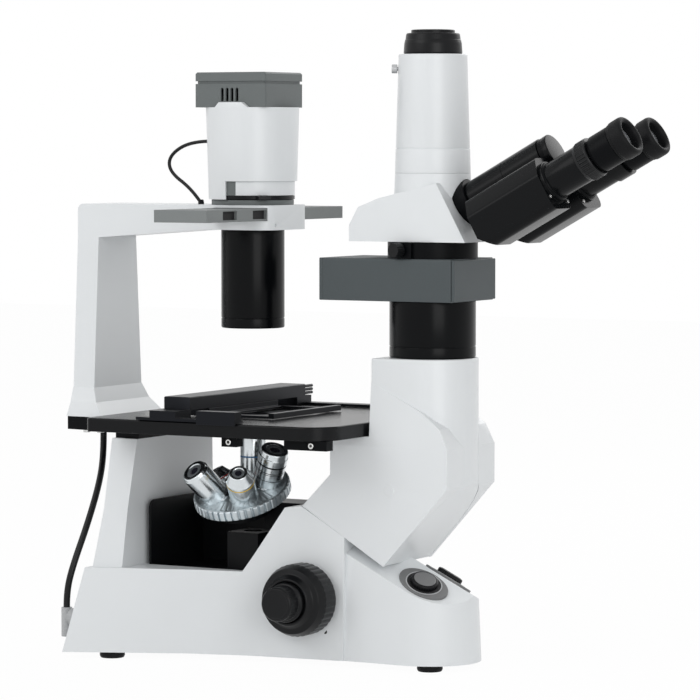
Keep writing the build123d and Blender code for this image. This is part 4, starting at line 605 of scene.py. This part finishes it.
# %% Coarse and fine knobs
focus_origin = np.array([light_x + 0.0905, 0, 0.0635])
coarse_profile = mm(
    (0, 56.5), (30, 56.5), (33.2, 57.2), (34, 58.5), (34, 76.8), (33.4, 78.2), (30.7, 85.0), (30.0, 85.5),
    (25.6, 86.3), (24.6, 87.4), (22.0, 91.6), (21.2, 92.2), (19.6, 92.0), (19.3, 91.0), (19.3, 82.0),
    (0, 82.0),
)
fine_profile = mm(
    (0, 56.6), (8, 56.6), (8, 89.0), (17.6, 89.0), (18.5, 90.0), (18.5, 95.2), (17.6, 96.2), (16.6, 96.6),
    (16.1, 97.6), (16.1, 110.2), (14.6, 111.9), (13.0, 112.0), (12.6, 111.8), (0, 111.8),
)
for hand, side in (("left", -1), ("right", 1)):
    knob_axis = axis_frame(focus_origin, side * Y)
    coarse, fine = hand + "_coarse_knob", hand + "_fine_knob"
    lathe(
        coarse + "_skin", knob_axis, coarse_profile, "coarse_focus", "knob", [coarse],
        segments=288, ripple=flutes(36, 0.0006, 0.0572, 0.0782, 0.9), smooth_angle=grip_angle,
    )
    lathe(
        fine + "_skin", knob_axis, fine_profile, "fine_focus", "knob", [fine],
        segments=192, ripple=flutes(32, 0.0003, 0.0975, 0.1103, 0.6), smooth_angle=grip_angle,
    )
    print(hand, "focus knobs")

# %% [markdown]
# ## Nosepiece
# Five objectives stand on a turret that leans toward the near side. Its rim has square finger grooves.
# Cutting each out of a solid would be slow, so they too are a ripple for the lathe, with flat tops.

# %% Square grooves
def teeth(count, depth, low, high, share=0.5):
    """A ripple of square grooves between two heights: full depth where the wave |sin| lies under the share,
    with steep flanks."""
    flank = 0.18

    def ripple(turn, profile):
        inside = ((profile[:, 1] > low) & (profile[:, 1] < high)).astype(float)[:, None]
        wave = np.abs(np.sin(turn * count / 2))
        cut = np.clip((share - wave) / flank + 0.5, 0, 1)
        return -depth * inside * cut[None, :]

    return ripple


# %% [markdown]
# The turret's axis passes through the light axis low down and leans 25 degrees, so that the objective in use
# stands upright. The rim is matt aluminium, which needs many segments to keep its grooves crisp.

# %% Turret with its grooved rim
nose_tilt = radians(25)
nose_direction = np.array([0, -sin(nose_tilt), cos(nose_tilt)])
nose_origin = np.array([light_x, 0, 0.112])
nose_axis = axis_frame(nose_origin, nose_direction)
turret_profile = mm(
    (0, 40.5), (33, 40.5), (34.5, 42.0), (43.5, 42.0), (44.6, 42.6), (46.2, 42.9), (47.0, 43.6), (47.0, 51.9),
    (46.2, 52.6), (45.0, 53.2), (43.5, 52.9), (42.5, 52.2), (30, 55.4), (14, 58.0), (0, 58.6),
)
lathe(
    "turret_skin", nose_axis, turret_profile, "nosepiece", "aluminium", ["nosepiece_turret"], segments=480,
    ripple=teeth(44, 0.002, 0.0428, 0.0525, 0.42), smooth_angle=grip_angle,
)
print("turret with 44 grooves")

# %% [markdown]
# The objectives are chrome barrels of different length, each with its own nose, rings and front lens. One
# outline with a few measures serves all five, and one rule gives their places: the axis of the objective in
# use, turned about the turret's axis in fifths.

# %% An objective's place and outline
def station_axis(index):
    """The axis of one turret position: the upright one turned about the turret's axis by Rodrigues' rule,
    a cos t + (k x a) sin t + k (k . a)(1 - cos t)."""
    turn = 2 * pi / 5 * index
    kept = nose_direction * np.dot(nose_direction, Z) * (1 - cos(turn))
    along = Z * cos(turn) + np.cross(nose_direction, Z) * sin(turn) + kept
    return axis_frame(nose_origin, along, nose_direction)


def barrel(radius, seat, shoulder, tip, nose, cup):
    """An objective's outline: collar, undercut, barrel, shoulder, nose and a shallow cup round the lens."""
    return mm(
        (0, 52), (10, 52), (10, seat), (radius + 0.5, seat), (radius + 0.5, seat + 4.2),
        (radius - 0.5, seat + 4.6), (radius - 0.5, seat + 5.2), (radius, seat + 5.6),
        (radius, shoulder - 0.6), (radius - 0.6, shoulder), (nose + 0.8, tip - 1.2), (nose, tip), (cup, tip),
        (cup - 0.6, tip - 0.9), (0, tip - 0.9),
    )


# %% [markdown]
# A front lens sits in a grey cell inside the nose, and a coloured band round the barrel tells the power. The
# band stands a hair proud of the chrome, so that the two surfaces never share a place.

# %% Five objectives
barrel_seat, band_height = 57.1, 1.5
# name, barrel radius, shoulder height, tip height, nose radius, cup radius, band finish, band's lower edge
objective_parts = (
    ("objective_working", 12.3, 95.6, 99.0, 8.8, 5.6, "ring_blue", 76.0),
    ("objective_short", 12.0, 66.4, 74.0, 6.6, 4.4, "ring_red", 64.0),
    ("objective_left", 13.6, 96.8, 99.5, 11.7, 8.2, None, 0.0),
    ("objective_near", 13.4, 90.0, 99.5, 8.2, 6.0, "ring_yellow", 85.6),
    ("objective_right", 14.1, 93.6, 99.5, 12.3, 9.0, None, 0.0),
)
for index, (name, radius, shoulder, tip, nose, cup, band, band_low) in enumerate(objective_parts):
    axis = station_axis(index)
    outline = barrel(radius, barrel_seat, shoulder, tip, nose, cup)
    lathe(name + "_skin", axis, outline, "nosepiece", "chrome", [name], soften=0.0006)
    lens_top, lens_radius = tip - 0.85, cup * 0.55
    cell = section(lens_radius, cup - 0.65, lens_top - 1, lens_top + 0.25)
    lathe(name + "_cell", axis, cell, "nosepiece", "cell", segments=48, soften=0.0002)
    lens = mm(
        (0, lens_top - 1), (lens_radius, lens_top - 1), (lens_radius, lens_top), (cup * 0.3, lens_top + 0.35),
        (0, lens_top + 0.45),
    )
    lathe(name + "_lens", axis, lens, "nosepiece", "lens", segments=48, soften=0.0001)
    if band:
        ring = section(radius - 0.5, radius + 0.06, band_low, band_low + band_height)
        lathe(name + "_band", axis, ring, "nosepiece", band, soften=0.0001)
print("objectives:", len(objective_parts))

# %% [markdown]
# The widest objective has four thin black lines round its barrel. They could be painted by height in the
# finish, but rings made like the bands stay sharp from near by.

# %% Lines round the right objective
for line_low, wide in ((84.6, 1.6), (78.8, 0.7), (77.2, 0.5), (70.5, 0.5)):
    name, ring = "right_objective_ring_%d" % round(line_low), section(13.7, 14.16, line_low, line_low + wide)
    lathe(name, station_axis(4), ring, "nosepiece", "knob", soften=0.0001)
print("lines on the right objective: 4")

# %% [markdown]
# ## Eyepieces
# The two tubes rise toward the eyes at 29 degrees and swing about one hinge between them. Both run along the
# hinge, so its direction is stated once, and each tube's axis lies a step aside and below it.

# %% Axes of the hinge and the eye tubes
tube_tilt = radians(29.0)
eye_aside, eye_below = 0.0295, 0.0305
hinge_direction = np.array([cos(tube_tilt), 0, sin(tube_tilt)])
hinge_up = np.array([-sin(tube_tilt), 0, cos(tube_tilt)])
hinge_origin = np.array([light_x + 0.2755, 0, 0.4565])
hinge_axis = axis_frame(hinge_origin, hinge_direction, Y)


def eye_axis(side):
    """The axis of one eye tube: -1 is the near one and 1 the far one."""
    return axis_frame(hinge_origin + side * eye_aside * Y - eye_below * hinge_up, hinge_direction, Y)


print("eye tubes: %.0f mm apart" % (2000 * eye_aside))

# %% [markdown]
# Each eye tube is polished black, and carries a tapered dioptre ring with fine ridges, then the eyepiece
# barrel and a soft rubber cup with a fat rolled lip round a recessed lens. One lathe could carry the whole
# outline, but separate ones keep each material and each moving piece apart.

# %% Outlines of the eye tubes
collar_profile = mm(
    (12.0, 48.02), (19.2, 48.02), (20.0, 48.6), (20.0, 50.2), (19.2, 51.0), (18.4, 52.6), (12.0, 52.6)
)
dioptre_profile = mm(
    (11.7, 84.1), (17.6, 84.1), (18.0, 84.6), (18.4, 87.0), (19.0, 87.3), (19.0, 96.6), (18.4, 98.3),
    (11.7, 98.3),
)
eyepiece_profile = mm(
    (0, 84.5), (11.4, 84.5), (11.4, 98.6), (15.4, 98.6), (15.4, 101.2), (17.2, 101.6), (17.4, 102.4),
    (17.4, 121.4), (16.6, 122.0), (12.4, 122.0), (12.2, 128.0), (0, 128.0),
)
eyecup_profile = mm(
    (12.4, 122.05), (17.6, 122.05), (18.0, 122.6), (18.0, 124.4), (18.8, 125.0), (19.0, 127.0), (19.0, 134.6),
    (18.4, 136.9), (16.6, 138.3), (14.4, 138.0), (13.0, 136.4), (12.4, 133.6),
)
eye_lens_profile = mm((0, 128.02), (12.1, 128.02), (12.1, 129.6), (9.0, 130.6), (5.0, 131.2), (0, 131.4))
print("eye tube outlines: 5")

# %% [markdown]
# The near dioptre ring turns, with the eyepiece and its cup. The far tube has a fixed ring of the same form,
# so all of it rides the far prism housing.

# %% Eye tubes, dioptre rings, barrels and cups
for hand, side, body in (("left", -1, "diopter"), ("right", 1, "right_eye")):
    axis = eye_axis(side)
    housing = hand + "_eye"
    lathe(hand + "_tube_collar", axis, collar_profile, housing, "black")
    lathe(hand + "_tube_skin", axis, section(11.7, 17.4, 52.62, 84.0), housing, "gloss_black")
    ring_nodes = ["left_diopter_ring"] if side < 0 else []
    lathe(
        hand + "_diopter_skin", axis, dioptre_profile, body, "ribbed", ring_nodes,
        segments=320, ripple=flutes(72, 0.0008, 0.0874, 0.0964, 0.8), smooth_angle=grip_angle,
    )
    lathe(hand + "_eyepiece_skin", axis, eyepiece_profile, body, "black", [hand + "_eyepiece"])
    lathe(hand + "_eyecup_skin", axis, eyecup_profile, body, "rubber", soften=0.0012)
    lathe(hand + "_eye_lens", axis, eye_lens_profile, body, "eye_glass", soften=0.0002)
    print(hand, "eye tube with its eyepiece")

# %% [markdown]
# A flat cap closes the hinge between the tubes. It hides the joint of the two housings, so a plain disc with
# a rounded rim is enough.

# %% Hinge cap
hinge_cap_profile = mm((0, 47.0), (15.6, 47.0), (16.7, 47.6), (16.7, 52.4), (15.9, 53.06), (0, 53.06))
lathe("hinge_cap_skin", hinge_axis, hinge_cap_profile, "head", "gloss_black")
print("hinge cap")

# %% [markdown]
# Small bright screws hold each prism housing's end plate. Their sockets could be cut six-sided, but at this
# size a hexagon of painted shade on the floor of a round recess looks the same.

# %% Socket screws of the prism housings
def cap_screw(name, origin, along, radius, height, body):
    """A socket screw's head: a low cylinder with a round recess, and a hexagon of painted shade sunk in it.
    """
    axis = axis_frame(origin, along, X if abs(along[0]) < 0.9 else Y)
    r, h = radius * 1000, height * 1000
    head = mm(
        (0, -0.5), (r, -0.5), (r, h - 0.2), (r - 0.3, h), (0.52 * r, h), (0.5 * r, 0.3 * h), (0, 0.3 * h)
    )
    lathe(name, axis, head, body, "screw", segments=36, soften=0.0001)
    # The socket is a dark hexagon of painted shade.
    socket = section(0, 0.49 * r, 0.3 * h, 0.36 * h)
    lathe(name + "_socket_shade", axis, socket, body, "hole_shade", segments=6, soften=0)


for hand, side in (("left", -1), ("right", 1)):
    for across_by, up_by in ((20.0, -12.5), (46.0, -44.0), (16.5, -50.0)):
        place = hinge_origin + side * across_by / 1000 * Y + up_by / 1000 * hinge_up + 0.048 * hinge_direction
        name = "%s_housing_screw_%d" % (hand, across_by)
        cap_screw(name, place, hinge_direction, 0.0017, 0.0009, hand + "_eye")
print("housing screws: 6")

# %% [markdown]
# ## Dimmers
# Two oval bezels lie on the sloping roof of the front lobe. Each carries a knurled knob with a paler, gently
# domed top and a thin bright line round its rim, which is a painted highlight. The roof's normal at a dimmer
# is worked out from its two slopes, and the knob stands on it.

# %% Dimmer axes
dimmer_x, dimmer_y = 0.1983, 0.024
ridge_x, ridge_z = 0.203, 0.086


def dimmer_axis(side):
    """The roof's normal at one dimmer: the ridge falls 26 degrees to the front, the roof 19 to the side."""
    slope, roll = radians(26), radians(19)
    normal = np.array([sin(slope) * cos(roll), side * sin(roll), cos(slope) * cos(roll)])
    fall = ((dimmer_x - ridge_x) * normal[0] + dimmer_y * abs(normal[1])) / normal[2]
    return axis_frame((light_x + dimmer_x, side * dimmer_y, ridge_z - fall), normal)


print("dimmers: %.0f mm apart" % (2000 * dimmer_y))

# %% [markdown]
# Knob, top, dark well and bright line are four lathes on one axis: the well is painted shade and the line a
# painted highlight. The well and the line belong to the stand, and the knob turns in them.

# %% Dimmer knobs
dimmer_profile = mm((0, 0.95), (12.5, 0.95), (12.9, 1.4), (12.9, 5.6), (12.3, 6.5), (10.8, 6.9), (0, 7.0))
dimmer_top_profile = mm((0, 6.8), (10.3, 6.7), (10.4, 7.0), (9.8, 7.2), (0, 7.3))
for hand, side in (("left", -1), ("right", 1)):
    axis = dimmer_axis(side)
    dimmer = hand + "_dimmer"
    lathe(
        dimmer + "_skin", axis, dimmer_profile, dimmer, "knob", [dimmer + "_knob"], segments=288,
        ripple=flutes(64, 0.00045, 0.0013, 0.0058, 0.7), smooth_angle=grip_angle,
    )
    lathe(dimmer + "_top", axis, dimmer_top_profile, dimmer, "bezel", soften=0.0001)
    # The well is painted shade, and the bright line above it is a painted highlight.
    lathe(dimmer + "_well_shade", axis, section(13.0, 16.3, 1.5, 2.2), "stand", "hole_shade", soften=0.0001)
    lathe(dimmer + "_rim_highlight", axis, section(16.3, 17.4, 1.9, 2.45), "stand", "silver", soften=0.0001)
    print(hand, "dimmer")

# %% [markdown]
# ## Stage drive
# Two knurled knobs hang from the stage, one over the other: the upper one moves the holder and the lower one
# the cross bar. The upper one turns on a hollow shaft, and the lower one's shaft runs up through it.

# %% Stage drive knobs
drive_axis = axis_frame((light_x + 0.075, 0.131, 0), Z)
upper_drive_profile = mm(
    (2.05, 191), (12.2, 191), (13, 191.8), (13, 207), (12.2, 208), (4, 208), (4, 230), (2.05, 230)
)
lower_drive_profile = mm(
    (0, 168), (9.6, 168), (10.5, 168.9), (10.5, 188), (9.8, 189), (2, 189), (2, 222), (0, 222)
)
lathe(
    "upper_drive_skin", drive_axis, upper_drive_profile, "holder_drive", "knob", ["holder_drive_knob"],
    segments=240, ripple=flutes(60, 0.0005, 0.1915, 0.2074, 0.6), smooth_angle=grip_angle,
)
lathe(
    "lower_drive_skin", drive_axis, lower_drive_profile, "cross_drive", "knob", ["cross_drive_knob"],
    segments=200, ripple=flutes(50, 0.0005, 0.1686, 0.1884, 0.6), smooth_angle=grip_angle,
)
print("stage drive knobs: 2")

# %% [markdown]
# ## Small screws
# Two socket screws on each side hold the brackets under the stage. They are the same lathes as the screws of
# the prism housings, only larger.

# %% Screws under the stage
for x, side in ((43.0, -1), (131.0, -1), (43.0, 1), (131.0, 1)):
    place = (light_x + x / 1000, side * 0.1162, 0.2125)
    cap_screw("bracket_screw_%d_%d" % (x, side), place, side * Y, 0.0028, 0.0012, "stand")
print("bracket screws: 4")

# %% [markdown]
# Four bolts hold the black shelf behind the stage from below. Their heads show bright against it, so they are
# plain lathes with a round recess and no hexagon.

# %% Bolts under the shelf
bolt_profile = mm((0, -0.3), (3.45, -0.3), (3.45, 2.9), (3.1, 3.25), (1.8, 3.25), (1.7, 1.6), (0, 1.6))
for x in (-163.0, -147.0):
    for y in (-42.0, 42.0):
        bolt = axis_frame((light_x + x / 1000, y / 1000, 0.2117), -Z)
        lathe("shelf_bolt_%d_%d" % (x, y), bolt, bolt_profile, "stand", "screw", segments=48, soften=0.0002)
print("shelf bolts: 4")

# %% [markdown]
# A set screw hides in a small hole in each side wall of the base. Its place could be typed in, but a ray cast
# at the wall from outside finds it, and the way the wall faces there, and a dark disc of painted shade is
# laid on it.

# %% Set screw holes in the base
for side in (-1, 1):
    start = Vector((light_x + 0.1089, side * 0.2, 0.0324))
    hit, place, normal, _ = frame["nodes"]["base_frame"].ray_cast(start, Vector((0, -side, 0)))
    if hit:
        rim = axis_frame(place, np.array(normal))
        # The disc is painted shade for the hole round the screw.
        disc = section(0, 1.9, -0.6, 0.06)
        lathe("set_screw_%d" % side, rim, disc, "stand", "hole_shade", segments=32, soften=0)
    print("set screw", side, "on the wall:", hit)

# %% [markdown]
# ## Castings and plates
# The freeform pieces are dressed copies of the CAD. They could be modelled anew, but then every hole and seat
# would have to be met again. Big castings get a wide rounding, plates and small fittings a narrow one, and
# what stays inside none.

# %% Dress the castings
for node, finish, width in (
    ("base_frame", "white", 0.0022), ("bottom_cover", "white_inside", 0.0),
    ("column_housing", "white", 0.0016), ("column_side_covers", "white", 0.0014),
    ("pillar_shelf", "black", 0.0012), ("illumination_pillar", "white", 0.003),
    ("stage_plate", "stage", 0.0006), ("stage_brackets", "black", 0.0005), ("lamp_cap", "grey", 0.0005),
    ("fluorescence_housing", "box", 0.0008), ("fluorescence_end_covers", "box", 0.0008),
    ("head_body", "white", 0.0022), ("head_clamp_ring", "black", 0.0006),
    ("left_prism_housing", "gloss_black", 0.002), ("right_prism_housing", "gloss_black", 0.002),
    ("cross_bar", "dark_metal", 0.0005), ("specimen_holder", "dark_metal", 0.0003),
    ("phase_slider", "slider", 0.0006), ("focus_carriage", "black", 0.0006), ("rear_sockets", "knob", 0.0003),
    ("rear_connector", "silver", 0.0004), ("head_clamp_screw", "knob", 0.0003),
    ("phototube_screw", "steel", 0.0003), ("dimmer_bezels", "bezel", 0.0005), ("lamp_house", "white", 0.0005),
    ("aperture_lever", "knob", 0.0004), ("binocular_hub", "black", 0.0006), ("rubber_feet", "rubber", 0.0004),
    ("stage_insert", "dark_metal", 0.0003), ("focus_shaft", "steel", 0.0), ("focus_guide", "steel", 0.0),
    ("lenses_and_mirrors", "lens", 0.0), ("power_supply", "dark_metal", 0.0),
    ("filter_cube", "dark_metal", 0.0), ("led_module", "dark_metal", 0.0),
):
    dress(node, finish, width)

# %% [markdown]
# The black liner closes the base's pocket, and its rear panel has rounded upper corners. A boolean with a
# rounded block would do, but planes laid against a circle take each corner off in short steps and never fail.

# %% Liner with rounded corners
corner_radius, corner_height = 0.008, 0.139
corner_cuts = []
for side, edge_y in ((-1, -0.051), (1, 0.047)):
    centre = np.array([0, edge_y - side * corner_radius, corner_height])
    for turn in np.radians(np.arange(82.5, 0, -15)):
        outward = np.array([0, side * cos(turn), sin(turn)])
        corner_cuts.append((centre + corner_radius * outward, outward))
dress("cavity_liner", "liner", 0.0005, cuts=corner_cuts)

# %% [markdown]
# ## Light and floor
# The photograph has no room in it: the microscope stands on plain white. A white wall round it would do that,
# but it would also flood the dark parts. So the surroundings are white only for rays that show them directly,
# and dimmer for the light that they give, which lets the white paint keep its shading.

# %% White surroundings
surround_level = 0.57
world = bpy.data.worlds.new("studio")
bpy.context.scene.world = world
world.use_nodes = True
nodes, links = world.node_tree.nodes, world.node_tree.links
background = nodes["Background"]


def seen_directly(tree):
    """1 for rays that show the surroundings themselves: from the camera, off metal and through glass."""
    path = tree.nodes.new("ShaderNodeLightPath")
    total = path.outputs["Is Camera Ray"]
    for kind in ("Is Glossy Ray", "Is Transmission Ray"):
        either = tree.nodes.new("ShaderNodeMath")
        either.use_clamp = True
        tree.links.new(total, either.inputs[0])
        tree.links.new(path.outputs[kind], either.inputs[1])
        total = either.outputs[0]
    return total


brightness = nodes.new("ShaderNodeMapRange")
brightness.inputs["To Min"].default_value = surround_level
brightness.inputs["To Max"].default_value = 1.0
links.new(seen_directly(world.node_tree), brightness.inputs["Value"])
links.new(brightness.outputs[0], background.inputs["Strength"])
background.inputs["Color"].default_value = (1, 1, 1, 1)
print("surroundings give", surround_level, "of their full light")

# %% [markdown]
# Three big square lights stand in for a light tent: a key from the near side, a fill from the user's side and
# a back light that lifts the far edges. Big lights keep the shadows soft and the reflections calm.

# %% Three soft lights
def lamp(name, place, aim_at, size, power):
    """A square soft light at a place, turned to face a point."""
    data = bpy.data.lights.new(name, "AREA")
    data.size = size
    data.energy = power
    light = bpy.data.objects.new(name, data)
    bpy.context.scene.collection.objects.link(light)
    light.location = place
    light.rotation_mode = "QUATERNION"
    light.rotation_quaternion = (Vector(aim_at) - Vector(place)).to_track_quat("-Z", "Y")


lamp("key", (-0.9, -1.8, 1.6), (0, 0, 0.3), 1.4, 12)
lamp("fill", (1.7, -1.7, 0.7), (-0.1, 0, 0.3), 1.2, 12)
lamp("back", (0.2, 2.0, 1.6), (0, 0, 0.3), 1.4, 11)
print("lights: 3")

# %% [markdown]
# The floor is a large plane. It glows white where it is seen directly, except for a small share of its own
# shading, which leaves a faint shadow under the feet.

# %% Floor
floor_reach, glow_share = 6.0, 0.97
floor_mesh = bpy.data.meshes.new("floor")
floor_corners = [(x * floor_reach, y * floor_reach, 0) for x, y in ((-1, -1), (1, -1), (1, 1), (-1, 1))]
floor_mesh.from_pydata(floor_corners, [], [(0, 1, 2, 3)])
floor = bpy.data.objects.new("floor", floor_mesh)
bpy.context.scene.collection.objects.link(floor)
ground = Finish("pale floor", (0.93, 0.93, 0.93), 0.8)
glow = ground.node("Emission", {}, {"Color": (1, 1, 1, 1), "Strength": 1.0})
seen = Value(ground, seen_directly(ground.tree))
mixed = ground.node("MixShader", {}, {0: seen * glow_share, 2: glow})
ground.tree.links.new(ground.shader.outputs[0], mixed.socket.node.inputs[1])
ground.tree.links.new(mixed.socket, ground.tree.nodes["Material Output"].inputs["Surface"])
floor_mesh.materials.append(ground.material)
print("floor:", 2 * floor_reach, "m wide")
